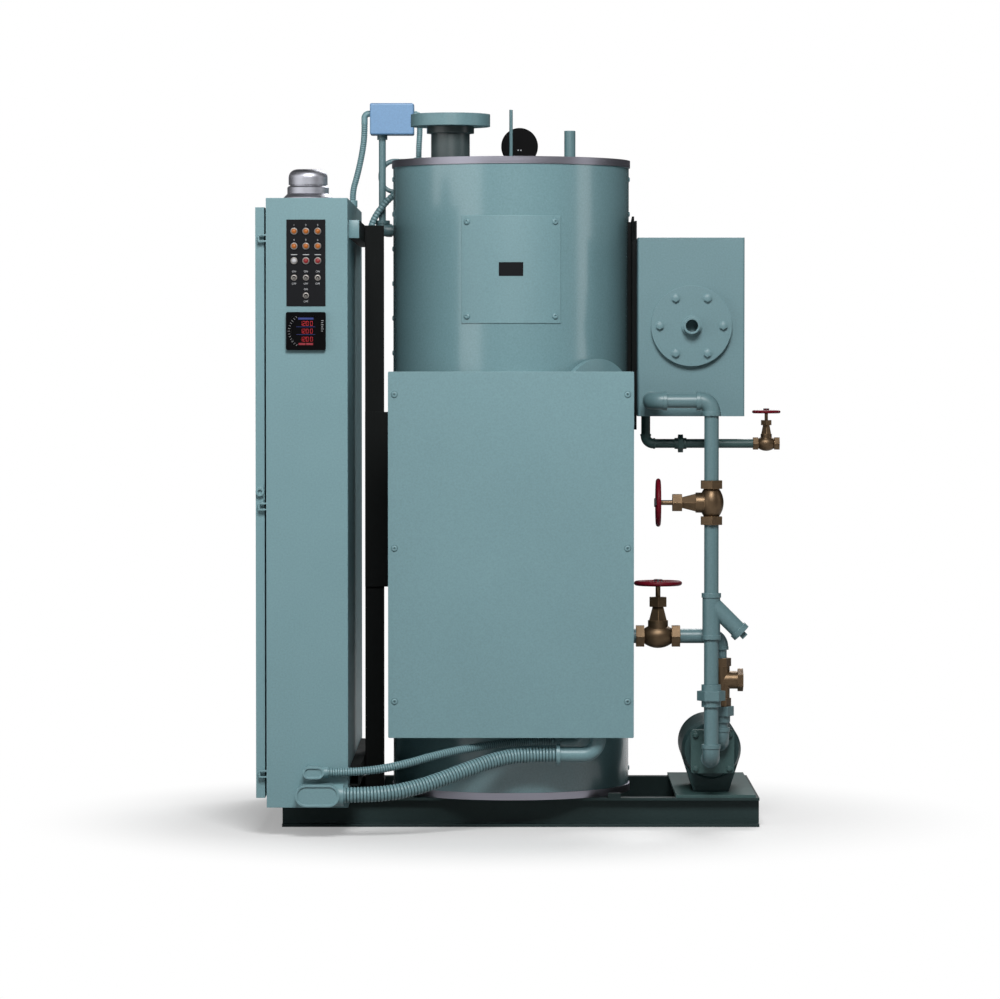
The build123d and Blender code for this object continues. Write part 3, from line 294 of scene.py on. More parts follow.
def brushed_steel(name, code, roughness=0.3):
    """Stainless sheet brushed around its length: fine level scratches that spread the light."""
    material, tree, shader = new_material(name)
    place = add_node(tree, "ShaderNodeTexCoord").outputs["Object"]
    # The real scratches are finer than a pixel, so they are drawn about 1 mm wide and 150 mm long.
    along = add_node(tree, "ShaderNodeMapping", {"Vector": place, "Scale": (6.7, 6.7, 1000.0)})
    scratch = add_node(tree, "ShaderNodeTexNoise", {
        "Vector": along.outputs["Vector"], "Scale": 1.0, "Detail": 4.0})
    tone = add_node(tree, "ShaderNodeMix", {
        "Factor_Float": scratch.outputs["Fac"], "A_Color": linear(code, 0.82), "B_Color": linear(code, 1.1)},
        data_type="RGBA")
    rough = add_node(tree, "ShaderNodeMapRange", {
        "Value": scratch.outputs["Fac"], "To Min": roughness - 0.08, "To Max": roughness + 0.1})
    bump = add_node(tree, "ShaderNodeBump", {
        "Strength": 0.15, "Distance": 0.1 * MM, "Height": scratch.outputs["Fac"]})
    feed(tree, shader, {
        "Base Color": tone.outputs[MIXED], "Roughness": rough.outputs["Result"],
        "Normal": bump.outputs["Normal"], "Metallic": 1.0, "Anisotropic": 0.4})
    return material


def moulded(name, code, roughness, glow=0.0, specular=0.5):
    """Moulded plastic: one colour with a fine matt grain, and a faint glow: real for the lit meter digits,
    painted light on the unlit lamps and the meter's marks.
    """
    material, tree, shader = new_material(name)
    place = add_node(tree, "ShaderNodeTexCoord").outputs["Object"]
    grain = add_node(tree, "ShaderNodeTexNoise", {"Vector": place, "Scale": per_metre(1.2), "Detail": 2.0})
    tone = add_node(tree, "ShaderNodeMix", {
        "Factor_Float": grain.outputs["Fac"], "A_Color": linear(code, 0.85), "B_Color": linear(code, 1.15)},
        data_type="RGBA")
    bump = add_node(tree, "ShaderNodeBump", {
        "Strength": 0.1, "Distance": 0.1 * MM, "Height": grain.outputs["Fac"]})
    rough = add_node(tree, "ShaderNodeMapRange", {
        "Value": grain.outputs["Fac"], "To Min": roughness * 0.85, "To Max": roughness * 1.15})
    feed(tree, shader, {
        "Base Color": tone.outputs[MIXED], "Roughness": rough.outputs["Result"],
        "Normal": bump.outputs["Normal"], "IOR": 1.49, "Specular IOR Level": specular})
    if glow:
        feed(tree, shader, {"Emission Color": linear(code), "Emission Strength": glow})
    return material


def finish(name):
    """A finish by name, made once."""
    if name not in bpy.data.materials:
        shades = colours()
        makers = {
            "plant enamel": lambda: enamel(name, shades.paint, 0.42),
            "jacket enamel": lambda: enamel(
                name, shades.paint, 0.26, peel_mm=9, peel=0.02, haze=0.02, coat=0.6),
            # The plant's paint darkened for the tank: painted shade.
            "tank enamel with painted shade": lambda: enamel(name, shades.tank, 0.42),
            # The plant's paint darkened for the pipes: painted shade.
            "pipe enamel with painted shade": lambda: enamel(name, shades.line, 0.4),
            # Darker enamel for grooves and sockets: painted shade.
            "painted recess shade": lambda: moulded(name, shades.groove_shade, 0.7, specular=0.2),
            "pump enamel": lambda: enamel(name, shades.pump, 0.45, specular=0.3),
            "motor enamel": lambda: enamel(name, shades.motor, 0.45, specular=0.25),
            # Dark steel for the wheel nuts; on the neck also painted shade.
            "dark steel and painted neck shade": lambda: enamel(name, shades.pipe, 0.35, peel=0.05),
            # The plant's paint darkened for the skid: painted shade.
            "skid enamel with painted shade": lambda: enamel(name, shades.skid, 0.5, specular=0.25),
            # Near black paint for parts in shadow: painted shade.
            "painted frame shade": lambda: enamel(name, shades.shade, 0.6, specular=0.12),
            "housing enamel": lambda: enamel(name, shades.housing, 0.4),
            "wheel enamel": lambda: enamel(name, shades.wheel, 0.42, specular=0.15),
            "cast bronze": lambda: cast_bronze(name, shades.bronze),
            "brushed stainless": lambda: brushed_steel(name, shades.steel, 0.42),
            # The horn's stainless darkened for the bands: painted shade.
            "band stainless with painted shade": lambda: brushed_steel(name, shades.band, 0.36),
            "bright steel": lambda: brushed_steel(name, "#9C9894", 0.5),
            "black anodised plate": lambda: moulded(name, shades.plate, 0.6, specular=0.1),
            "black moulding": lambda: moulded(name, "#030304", 0.4, specular=0.06),
            # The lenses are not lit: their glow is painted light.
            "amber lens": lambda: moulded(name, shades.amber, 0.4, glow=0.12),
            "red lens": lambda: moulded(name, shades.red, 0.4, glow=0.12),
            "clear lens": lambda: moulded(name, "#A9A9AC", 0.4),
            "lit digits": lambda: moulded(name, shades.digits, 0.4, glow=0.12),
            # The meter's rules and keys are not lamps: their glow is painted light.
            "meter blue": lambda: moulded(name, "#1E2C6A", 0.4, glow=0.06),
            "meter red": lambda: moulded(name, "#7A1622", 0.4, glow=0.06),
            "printed white": lambda: moulded(name, "#A9ABAE", 0.6),
            "dial white": lambda: moulded(name, "#E6E6E2", 0.5),
            "panel enamel": lambda: enamel(name, shades.panel, 0.4),
        }
        makers[name]()
    return bpy.data.materials[name]


NODE_FINISH = {
    # The bands take the darkened stainless: painted shade.
    "jacket_trim_bands": "band stainless with painted shade",
    "roof_horn": "brushed stainless",
    "suction_valve": "cast bronze",
    "feed_valve": "cast bronze",
    "check_valve": "cast bronze",
    "drain_valve": "cast bronze",
    "suction_handwheel": "wheel enamel",
    "feed_handwheel": "wheel enamel",
    "drain_handwheel": "wheel enamel",
    "control_plate": "black anodised plate",
    "power_meter": "black moulding",
    "pressure_gauge": "black moulding",
    "probe_housing": "housing enamel",
    "mounting_panel": "panel enamel",
    "vessel_jacket": "jacket enamel",
    # The tank's parts and the steam outlet take the darkened paint: painted shade.
    "feed_tank": "tank enamel with painted shade",
    "feed_tank_lid": "tank enamel with painted shade",
    "tank_flange": "tank enamel with painted shade",
    # The pipes take the darkened paint: painted shade.
    "suction_upper_pipe": "pipe enamel with painted shade",
    "suction_lower_pipe": "pipe enamel with painted shade",
    "suction_strainer": "pipe enamel with painted shade",
    "discharge_riser": "pipe enamel with painted shade",
    "discharge_pipe": "pipe enamel with painted shade",
    # The drain pipe takes the pump's darker enamel: painted shade.
    "drain_pipe": "pump enamel",
    "lid_nipples": "pipe enamel with painted shade",
    "probe_riser": "pipe enamel with painted shade",
    "siphon_tube": "pipe enamel with painted shade",
    "steam_outlet": "tank enamel with painted shade",
    # The tank brackets take the near black paint: painted shade.
    "tank_brackets": "painted frame shade",
    "pump_head": "pump enamel",
    "pump_motor": "motor enamel",
    # The skid takes the darkened paint: painted shade.
    "skid_front_rail": "skid enamel with painted shade",
    "skid_rear_rail": "skid enamel with painted shade",
    "skid_cross_members": "skid enamel with painted shade",
    # The plate takes the pump's darker enamel, partly as painted shade under the pump.
    "pump_plate": "pump enamel",
    # The post and struts take the near black paint: painted shade.
    "cabinet_post": "painted frame shade",
    "upper_strut": "painted frame shade",
    "lower_strut": "painted frame shade",
}


def make_piece(name, shape, material, body=BOILER, smooth=True, replaces=()):
    """Turns a bmesh into a finished piece that rides a body."""
    bmesh.ops.remove_doubles(shape, verts=shape.verts, dist=1e-6)
    bmesh.ops.recalc_face_normals(shape, faces=shape.faces)
    for face in shape.faces:
        face.smooth = smooth
    for edge in shape.edges:
        if len(edge.link_faces) == 2 and edge.calc_face_angle() > sizes().crease:
            edge.smooth = False
    mesh = bpy.data.meshes.new(name)
    shape.to_mesh(mesh)
    shape.free()
    piece = bpy.data.objects.new(name, mesh)
    bpy.context.scene.collection.objects.link(piece)
    mesh.materials.append(finish(material))
    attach(piece, body)
    if replaces:
        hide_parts(*replaces)
    return piece


def facing(place, direction):
    """Matrix that sets a shape built along +Z at a place, pointing along a direction."""
    return Matrix.Translation(Vector(place)) @ Vector(direction).to_track_quat("Z", "Y").to_matrix().to_4x4()


def spin_outline(shape, outline, matrix, steps=24):
    """Spins an outline of (radius, height) points about +Z and sets it in place."""
    before = set(shape.verts)
    points = [shape.verts.new((radius, 0, height)) for radius, height in outline]
    edges = [shape.edges.new(pair) for pair in zip(points, points[1:])]
    bmesh.ops.spin(shape, geom=points + edges, axis=(0, 0, 1), cent=(0, 0, 0), steps=steps,
                   angle=2 * math.pi, use_merge=True)
    bmesh.ops.transform(shape, matrix=matrix, verts=[v for v in shape.verts if v not in before])


def prism(shape, sides, radius, height, matrix, bevel=0.0):
    """A prism of so many sides standing on its place, with its edges bevelled."""
    made = bmesh.ops.create_cone(
        shape, cap_ends=True, segments=sides, radius1=radius, radius2=radius, depth=height,
        matrix=matrix @ Matrix.Translation((0, 0, height / 2)))
    if bevel:
        edges = list({e for v in made["verts"] for e in v.link_edges})
        bmesh.ops.bevel(shape, geom=edges, offset=bevel, segments=2, profile=0.5, affect="EDGES", material=-1)


def slab(shape, low, high, bevel=0.0):
    """A box from corner to corner, with its edges bevelled."""
    low, high = Vector(low), Vector(high)
    size = high - low
    matrix = Matrix.Translation((low + high) / 2) @ Matrix.Diagonal((*size, 1))
    made = bmesh.ops.create_cube(shape, size=1.0, matrix=matrix)
    if bevel:
        edges = list({e for v in made["verts"] for e in v.link_edges})
        bmesh.ops.bevel(shape, geom=edges, offset=bevel, segments=2, profile=0.5, affect="EDGES", material=-1)


class BOILER_OT_finish_nodes(bpy.types.Operator):
    """Gives each solid of the boiler its finish"""

    bl_idname = "boiler.finish_nodes"
    bl_label = "Finish the solids"

    def execute(self, context):
        for node, solid in NODES.items():
            solid.data.materials.clear()
            solid.data.materials.append(finish(NODE_FINISH.get(node, "plant enamel")))
        return {"FINISHED"}


def route_line(name, points):
    """Points of the smooth line of a conduit, read from its spline, and the spline's length."""
    curve = bpy.data.curves.new(name + "_route", "CURVE")
    curve.dimensions = "3D"
    curve.resolution_u = 40
    spline = curve.splines.new("NURBS")
    spline.points.add(len(points) - 1)
    for control, point in zip(spline.points, points):
        control.co = (*(MM * x for x in point), 1.0)
    spline.order_u = 3
    spline.use_endpoint_u = True
    holder = bpy.data.objects.new(name + "_route", curve)
    line = bpy.data.meshes.new_from_object(holder)
    path = [v.co.copy() for v in line.vertices]
    bpy.data.objects.remove(holder)
    bpy.data.curves.remove(curve)
    bpy.data.meshes.remove(line)
    return path, sum((b - a).length for a, b in zip(path, path[1:]))


def stations(path, step):
    """Places and directions along a line, a step apart."""
    marks = [0.0]
    for a, b in zip(path, path[1:]):
        marks.append(marks[-1] + (b - a).length)
    count = max(2, round(marks[-1] / step))
    places = []
    leg = 0
    for i in range(count + 1):
        at = marks[-1] * i / count
        while leg < len(path) - 2 and marks[leg + 1] < at:
            leg += 1
        share = (at - marks[leg]) / max(1e-9, marks[leg + 1] - marks[leg])
        places.append(path[leg].lerp(path[leg + 1], share))
    ways = [(b - a).normalized() for a, b in zip(places, places[1:])]
    ways = [ways[0]] + [(a + b).normalized() for a, b in zip(ways, ways[1:])] + [ways[-1]]
    return list(zip(places, ways))


class BOILER_OT_conduits(bpy.types.Operator):
    """Builds the five ribbed flexible conduits along their routes"""

    bl_idname = "boiler.conduits"
    bl_label = "Flexible conduits"

    ribs = (0.98, 1.0, 1.0, 1.0, 0.98, 0.85)
    grooves = (4, 5)

    def execute(self, context):
        for node, points in CONDUITS.items():
            diameter, pitch = (MM * size for size in CONDUIT_SIZES[node])
            path, length = route_line(node, points)
            shape = bmesh.new()
            rings = []
            for i, (place, way) in enumerate(stations(path, pitch / len(self.ribs))):
                ring = bmesh.ops.create_circle(
                    shape, segments=sizes().tube_sides, radius=diameter / 2 * self.ribs[i % len(self.ribs)],
                    matrix=facing(place, way))
                rings.append(list({e for v in ring["verts"] for e in v.link_edges}))
            for i, (first, second) in enumerate(zip(rings, rings[1:])):
                band = bmesh.ops.bridge_loops(shape, edges=first + second)["faces"]
                for face in band:
                    # Faces in the grooves take the darker second finish: painted shade.
                    face.material_index = int(i % len(self.ribs) in self.grooves)
            for end in (rings[0], rings[-1]):
                bmesh.ops.edgenet_fill(shape, edges=end)
            tube = make_piece(node + "_tube", shape, "plant enamel", replaces=[node])
            tube.data.materials.append(finish("painted recess shade"))
        return {"FINISHED"}


def screw_outline(radius, height):
    """Outline of a domed screw head with a round recess."""
    return ((0.0, 0.45 * height), (0.26 * radius, 0.45 * height), (0.3 * radius, 0.95 * height),
            (0.45 * radius, height), (0.75 * radius, 0.85 * height), (0.95 * radius, 0.5 * height),
            (radius, 0.2 * height), (radius, -0.6 * MM))


def button_outline(radius, height):
    """Outline of a flat button head with a wide socket."""
    return ((0.36 * radius, 1.4 * MM), (0.38 * radius, 0.92 * height), (0.46 * radius, height),
            (0.7 * radius, 0.94 * height), (0.9 * radius, 0.6 * height), (radius, 0.25 * height),
            (radius, -0.3 * MM))


class BOILER_OT_screws(bpy.types.Operator):
    """Sets the screws of the cover, access plate and side seams"""

    bl_idname = "boiler.screws"
    bl_label = "Screws"

    # Places in millimetres.
    cover_columns = (-337, 337)
    cover_rows = (1274, 829.5, 386)
    plate_columns = (-128.5, 128.5)
    plate_rows = (1778, 1502)
    seam_rows = [150 + 103.76 * row for row in range(18)]

    def execute(self, context):
        size = sizes()
        screw = size.cover_screw
        cover_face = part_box("terminal_cover")[0].y
        shape = bmesh.new()
        sockets = bmesh.new()
        for x in self.cover_columns:
            for z in self.cover_rows:
                head = facing((x * MM, cover_face, z * MM), (0, -1, 0))
                spin_outline(shape, button_outline(screw, 4 * MM), head, steps=32)
                # A dark disc in each socket and a dark ring round each head: painted shade and painted
                # shadow.
                spin_outline(sockets, ((0.0, 1.6 * MM), (screw * 0.38, 1.6 * MM)), head)
                spin_outline(sockets, ((screw * 0.9, 0.35 * MM), (screw * 1.14, 0.35 * MM),
                                       (screw * 1.14, -0.3 * MM)), head, steps=32)
        make_piece("cover_screws", shape, "plant enamel")
        make_piece("cover_screw_painted_shade", sockets, "painted recess shade")

        plate_radius = ACCESS_RADIUS * MM
        shape = bmesh.new()
        for x in self.plate_columns:
            for z in self.plate_rows:
                angle = math.asin(x * MM / plate_radius)
                out = Vector((math.sin(angle), -math.cos(angle), 0))
                spin_outline(shape, screw_outline(size.plate_screw, 6 * MM),
                             facing(out * plate_radius + Vector((0, 0, z * MM)), out))
        make_piece("access_plate_screws", shape, "plant enamel")

        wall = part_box("vessel_jacket")[1].x
        shape = bmesh.new()
        for side in (-1, 1):
            for z in self.seam_rows:
                head = facing((side * wall, 0, z * MM), (side, 0, 0))
                spin_outline(shape, screw_outline(size.seam_screw, 3.2 * MM), head, steps=16)
        make_piece("seam_screws", shape, "plant enamel")
        return {"FINISHED"}


def bolt(shape, at, inner, outer, thick, head, height, bevel):
    """A washer and a hexagon head on a face that looks to the front."""
    out = (0, -1, 0)
    spin_outline(shape, ((0.0, thick), (inner, thick), (outer, thick - 0.6 * MM), (outer, -0.5 * MM)),
                 facing(at, out))
    prism(shape, 6, head, height, facing(at - Vector((0, thick, 0)), out), bevel)


class BOILER_OT_bolts(bpy.types.Operator):
    """Sets the bolts of the tank flange and the pump head"""

    bl_idname = "boiler.bolts"
    bl_label = "Bolts"

    # Places in millimetres.
    flange_face = -320
    flange_circle = 93
    flange_bolts = 6
    pump_face = -270
    pump_rows = (157, 285)
    pump_inset = 14

    def execute(self, context):
        size = sizes()
        centre = (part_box("tank_flange")[0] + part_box("tank_flange")[1]) / 2
        circle = self.flange_circle * MM
        head = size.flange_bolt
        shape = bmesh.new()
        for i in range(self.flange_bolts):
            angle = 2 * math.pi * i / self.flange_bolts
            at = Vector((centre.x + circle * math.cos(angle), self.flange_face * MM,
                         centre.z + circle * math.sin(angle)))
            bolt(shape, at, head * 1.15, head * 1.2, 2 * MM, head, 8 * MM, 0.8 * MM)
        make_piece("tank_flange_bolts", shape, "tank enamel with painted shade")

        low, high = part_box("pump_head")
        bottom, top = (row * MM for row in self.pump_rows)
        inset = self.pump_inset * MM
        shape = bmesh.new()
        for x in (low.x + inset, high.x - inset):
            for z in (bottom + inset, top - inset):
                at = Vector((x, self.pump_face * MM, z))
                bolt(shape, at, 9 * MM, 9.5 * MM, 1.6 * MM, 7.5 * MM, 6 * MM, 0.7 * MM)
        make_piece("pump_head_bolts", shape, "pump enamel")
        return {"FINISHED"}


class BOILER_OT_stems(bpy.types.Operator):
    """Puts on the valves' stems and wheel nuts, a darkened sleeve on the steam outlet's neck and a strut's
    end cap
    """

    bl_idname = "boiler.stems"
    bl_label = "Stems and neck"

    # Nut face, hub face, outer hub face in millimetres from the valve's middle, and the stem's radius.
    large = (114.2, 150.6, 159.3, 7.0)
    small = (69.2, 90.6, 96.3, 4.75)

    def execute(self, context):
        for joint in frame["record"]["behaviour"]["joints"]:
            body = joint["child"]
            if not body.endswith("_wheel"):
                continue
            kind = self.small if body == "drain_wheel" else self.large
            nut, hub, outer, radius = (MM * size for size in kind)
            root = facing(joint["pos_m"], joint["axis"])
            sleeve = radius + 0.3 * MM
            stem = bmesh.new()
            spin_outline(stem, ((radius, nut), (sleeve, nut), (sleeve, hub), (radius, hub)), root)
            make_piece(body + "_stem", stem, "cast bronze", body=body)
            cap = bmesh.new()
            prism(cap, 6, 1.86 * radius, 7.4 * MM, root @ Matrix.Translation((0, 0, outer)), 0.8 * MM)
            make_piece(body + "_nut", cap, "dark steel and painted neck shade", body=body)

        low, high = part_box("steam_outlet")
        centre = (low + high) / 2
        neck, collar = 57.45 * MM, 70.3 * MM
        base, shoulder, top = 1935 * MM, 2046.1 * MM, 2066.2 * MM
        shape = bmesh.new()
        spin_outline(shape, ((neck - 0.5 * MM, base), (neck, base), (neck, shoulder), (collar, shoulder),
                             (collar, top), (collar - 0.5 * MM, top)),
                     Matrix.Translation((centre.x, centre.y, 0)), steps=64)
        # A dark sleeve on the neck: grey bare steel, darkened further as painted shade under the flange.
        make_piece("steam_neck_shade_sleeve", shape, "dark steel and painted neck shade")

        low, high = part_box("upper_strut")
        shape = bmesh.new()
        slab(shape, (low.x, low.y - 1.5 * MM, low.z), (high.x, low.y, high.z), 0.4 * MM)
        make_piece("strut_end_cap", shape, "plant enamel")
        return {"FINISHED"}


class BOILER_OT_lamps(bpy.types.Operator):
    """Builds the pilot lamps: a bright bezel and a domed lens each"""

    bl_idname = "boiler.lamps"
    bl_label = "Pilot lamps"

    lenses = (("amber lens",) * 3, ("amber lens",) * 3, ("clear lens", "red lens", "red lens"))

    def execute(self, context):
        radius = sizes().lamp
        domes = {}
        bezels = bmesh.new()
        for up, row in zip(LAMP_ROWS, self.lenses):
            for across, lens in zip(LAMP_COLUMNS, row):
                base = facing(on_plate(across, up), (0, -1, 0))
                spin_outline(bezels, (
                    (radius * 0.72, 0.0), (radius * 0.72, 4.2 * MM), (radius * 0.8, 4.8 * MM),
                    (radius * 0.9, 4.4 * MM), (radius * 0.98, 2.6 * MM), (radius, 0.8 * MM),
                    (radius, -0.5 * MM)), base, steps=32)
                dome = domes.setdefault(lens, bmesh.new())
                spin_outline(dome, (
                    (0.0, 7.4 * MM), (radius * 0.25, 7.1 * MM), (radius * 0.45, 6.3 * MM),
                    (radius * 0.62, 5.0 * MM), (radius * 0.71, 3.4 * MM), (radius * 0.71, 0.2 * MM)),
                    base, steps=32)
        make_piece("lamp_bezels", bezels, "bright steel", replaces=["indicator_lamps"])
        for lens, dome in domes.items():
            make_piece(lens.replace(" ", "_") + "es", dome, lens)
        return {"FINISHED"}


class BOILER_OT_toggles(bpy.types.Operator):
    """Builds the toggle switches: a ring nut, a bush and a bat lever each"""

    bl_idname = "boiler.toggles"
    bl_label = "Toggle switches"

    def execute(self, context):
        radius = sizes().toggle
        shape = bmesh.new()
        for across, up in toggle_spots():
            base = facing(on_plate(across, up), (0, -1, 0))
            spin_outline(shape, (
                (radius * 0.5, 3.4 * MM), (radius * 0.6, 4.6 * MM), (radius * 0.72, 3.0 * MM),
                (radius * 0.9, 2.6 * MM), (radius, 1.8 * MM), (radius, -0.5 * MM)), base, steps=28)
            lever = base @ Matrix.Rotation(math.radians(10), 4, "X")
            spin_outline(shape, (
                (0.0, 11 * MM), (radius * 0.22, 10.6 * MM), (radius * 0.34, 9.4 * MM),
                (radius * 0.32, 7.6 * MM), (radius * 0.22, 2.4 * MM)), lever, steps=20)
        make_piece("toggle_levers", shape, "bright steel", replaces=["toggle_switches"])
        return {"FINISHED"}


def lettering(words, size, place, name, material, facing_back=False):
    """Raised lettering, made a mesh, centred on a place on a face that looks to the front or to the back."""
    shape = bmesh.new()
    turn = Matrix.Rotation(math.pi, 4, "Z") if facing_back else Matrix.Identity(4)
    for word, (x, y, z) in zip(words, place):
        text = bpy.data.curves.new(name, "FONT")
        text.body = word
        text.size = size
        text.align_x = "CENTER"
        text.align_y = "CENTER"
        text.extrude = 0.15 * MM
        holder = bpy.data.objects.new(name, text)
        mesh = bpy.data.meshes.new_from_object(holder)
        mesh.transform(Matrix.Translation((x, y, z)) @ turn @ Matrix.Rotation(math.pi / 2, 4, "X"))
        shape.from_mesh(mesh)
        bpy.data.objects.remove(holder)
        bpy.data.curves.remove(text)
        bpy.data.meshes.remove(mesh)
    return make_piece(name, shape, material, smooth=False)


class BOILER_OT_plate_marks(bpy.types.Operator):
    """Prints generic marks on the control plate and puts the blank black plate on the access plate"""

    bl_idname = "boiler.plate_marks"
    bl_label = "Plate marks"

    def execute(self, context):
        above = 17.5
        words = []
        spots = []
        for row, up in enumerate(LAMP_ROWS[:2]):
            for column, across in enumerate(LAMP_COLUMNS):
                words.append(str(3 * row + column + 1))
                spots.append(on_plate(across, up + above))
        for across, up in toggle_spots():
            words += ["ON", "OFF"]
            spots += [on_plate(across, up + above), on_plate(across, up - above)]
        lettering(words, 7.5 * MM, spots, "plate_marks", "printed white")

        bars = bmesh.new()
        for across in LAMP_COLUMNS:
            slab(bars, on_plate(across - 9, LAMP_ROWS[2] + above - 1) - Vector((0, 0.2 * MM, 0)),
                 on_plate(across + 9, LAMP_ROWS[2] + above + 1))
        make_piece("plate_bars", bars, "printed white", smooth=False)

        tag_radius = ACCESS_RADIUS * MM
        tag_middle = 1639 * MM
        tag = bmesh.new()
        made = bmesh.ops.create_grid(tag, x_segments=16, y_segments=2, size=0.5)
        bmesh.ops.transform(tag, matrix=Matrix.Diagonal((71 * MM, 40 * MM, 1, 1)), verts=made["verts"])
        for vertex in tag.verts:
            angle = vertex.co.x / tag_radius
            out = Vector((math.sin(angle), -math.cos(angle), 0))
            vertex.co = out * tag_radius + Vector((0, 0, tag_middle + vertex.co.y))
        bmesh.ops.recalc_face_normals(tag, faces=tag.faces)
        if next(iter(tag.faces)).normal.y > 0:
            bmesh.ops.reverse_faces(tag, faces=list(tag.faces))
        bmesh.ops.solidify(tag, geom=list(tag.faces), thickness=-1.2 * MM)
        make_piece("blank_tag", tag, "black anodised plate", smooth=False)
        return {"FINISHED"}


SEGMENTS = {
    "0": "abcdef", "1": "bc", "2": "abged", "3": "abgcd", "4": "fgbc",
    "5": "afgcd", "6": "afgedc", "7": "abc", "8": "abcdefg", "9": "abcdfg",
}


def segment_digit(shape, digit, left, low, width, height, face):
    """One digit of seven bars, standing a little proud of a face."""
    bar = width * 0.16
    half = height / 2
    places = {
        "a": (0, height - bar, width, height), "b": (width - bar, half, width, height),
        "c": (width - bar, 0, width, half), "d": (0, 0, width, bar), "e": (0, 0, bar, half),
        "f": (0, half, bar, height), "g": (0, half - bar / 2, width, half + bar / 2),
    }
    gap = bar * 0.22
    for segment in SEGMENTS[digit]:
        x0, z0, x1, z1 = places[segment]
        slab(shape, (left + x0 + gap, face - 0.3 * MM, low + z0 + gap),
             (left + x1 - gap, face + 0.2 * MM, low + z1 - gap))


class BOILER_OT_meter(bpy.types.Operator):
    """Builds the meter's display: three rows of red digits, rules, scale and ticks"""

    bl_idname = "boiler.meter"
    bl_label = "Meter display"

    rows = ("1200", "1200", "1200")

    def execute(self, context):
        low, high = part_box("power_meter")
        centre = (low + high) / 2
        face = low.y + 2 * MM
        digits = bmesh.new()
        for text, rise in zip(self.rows, (15.5, -6.5, -29.5)):
            for digit, shift in zip(text, (-17.5, -8.5, 0.5, 12.5)):
                segment_digit(digits, digit, centre.x + shift * MM, centre.z + rise * MM,
                              7.2 * MM, 13 * MM, face)
        make_piece("meter_digits", digits, "lit digits", smooth=False)

        rules = bmesh.new()
        for rise in (12.2, -9.8):
            slab(rules, (centre.x - 27 * MM, face - 0.2 * MM, centre.z + (rise - 0.5) * MM),
                 (centre.x + 27 * MM, face + 0.2 * MM, centre.z + (rise + 0.5) * MM))
        slab(rules, (centre.x - 22 * MM, face - 0.2 * MM, centre.z + 33 * MM),
             (centre.x + 22 * MM, face + 0.2 * MM, centre.z + 38.5 * MM), 0.15 * MM)
        make_piece("meter_rules", rules, "meter blue", smooth=False)

        keys = bmesh.new()
        for shift in (-21, 1):
            slab(keys, (centre.x + shift * MM, face - 0.3 * MM, centre.z - 40 * MM),
                 (centre.x + (shift + 20) * MM, face + 0.2 * MM, centre.z - 34 * MM), 0.2 * MM)
        make_piece("meter_keys", keys, "meter red", smooth=False)

        ticks = bmesh.new()
        for i in range(13):
            angle = math.radians(124 + 9.4 * i)
            for reach in (46.5 * MM, 50 * MM):
                x = centre.x + reach * math.cos(angle)
                z = centre.z + reach * math.sin(angle)
                slab(ticks, (x - 0.7 * MM, low.y - 0.2 * MM, z - 0.7 * MM),
                     (x + 0.7 * MM, low.y + 0.2 * MM, z + 0.7 * MM))
        for i in range(6):
            z = centre.z + (30 - 6 * i) * MM
            slab(ticks, (centre.x + 44 * MM, low.y - 0.2 * MM, z - 0.6 * MM),
                 (centre.x + (51 - 1.6 * (i % 2)) * MM, low.y + 0.2 * MM, z + 0.6 * MM))
        make_piece("meter_ticks", ticks, "printed white", smooth=False)
        return {"FINISHED"}


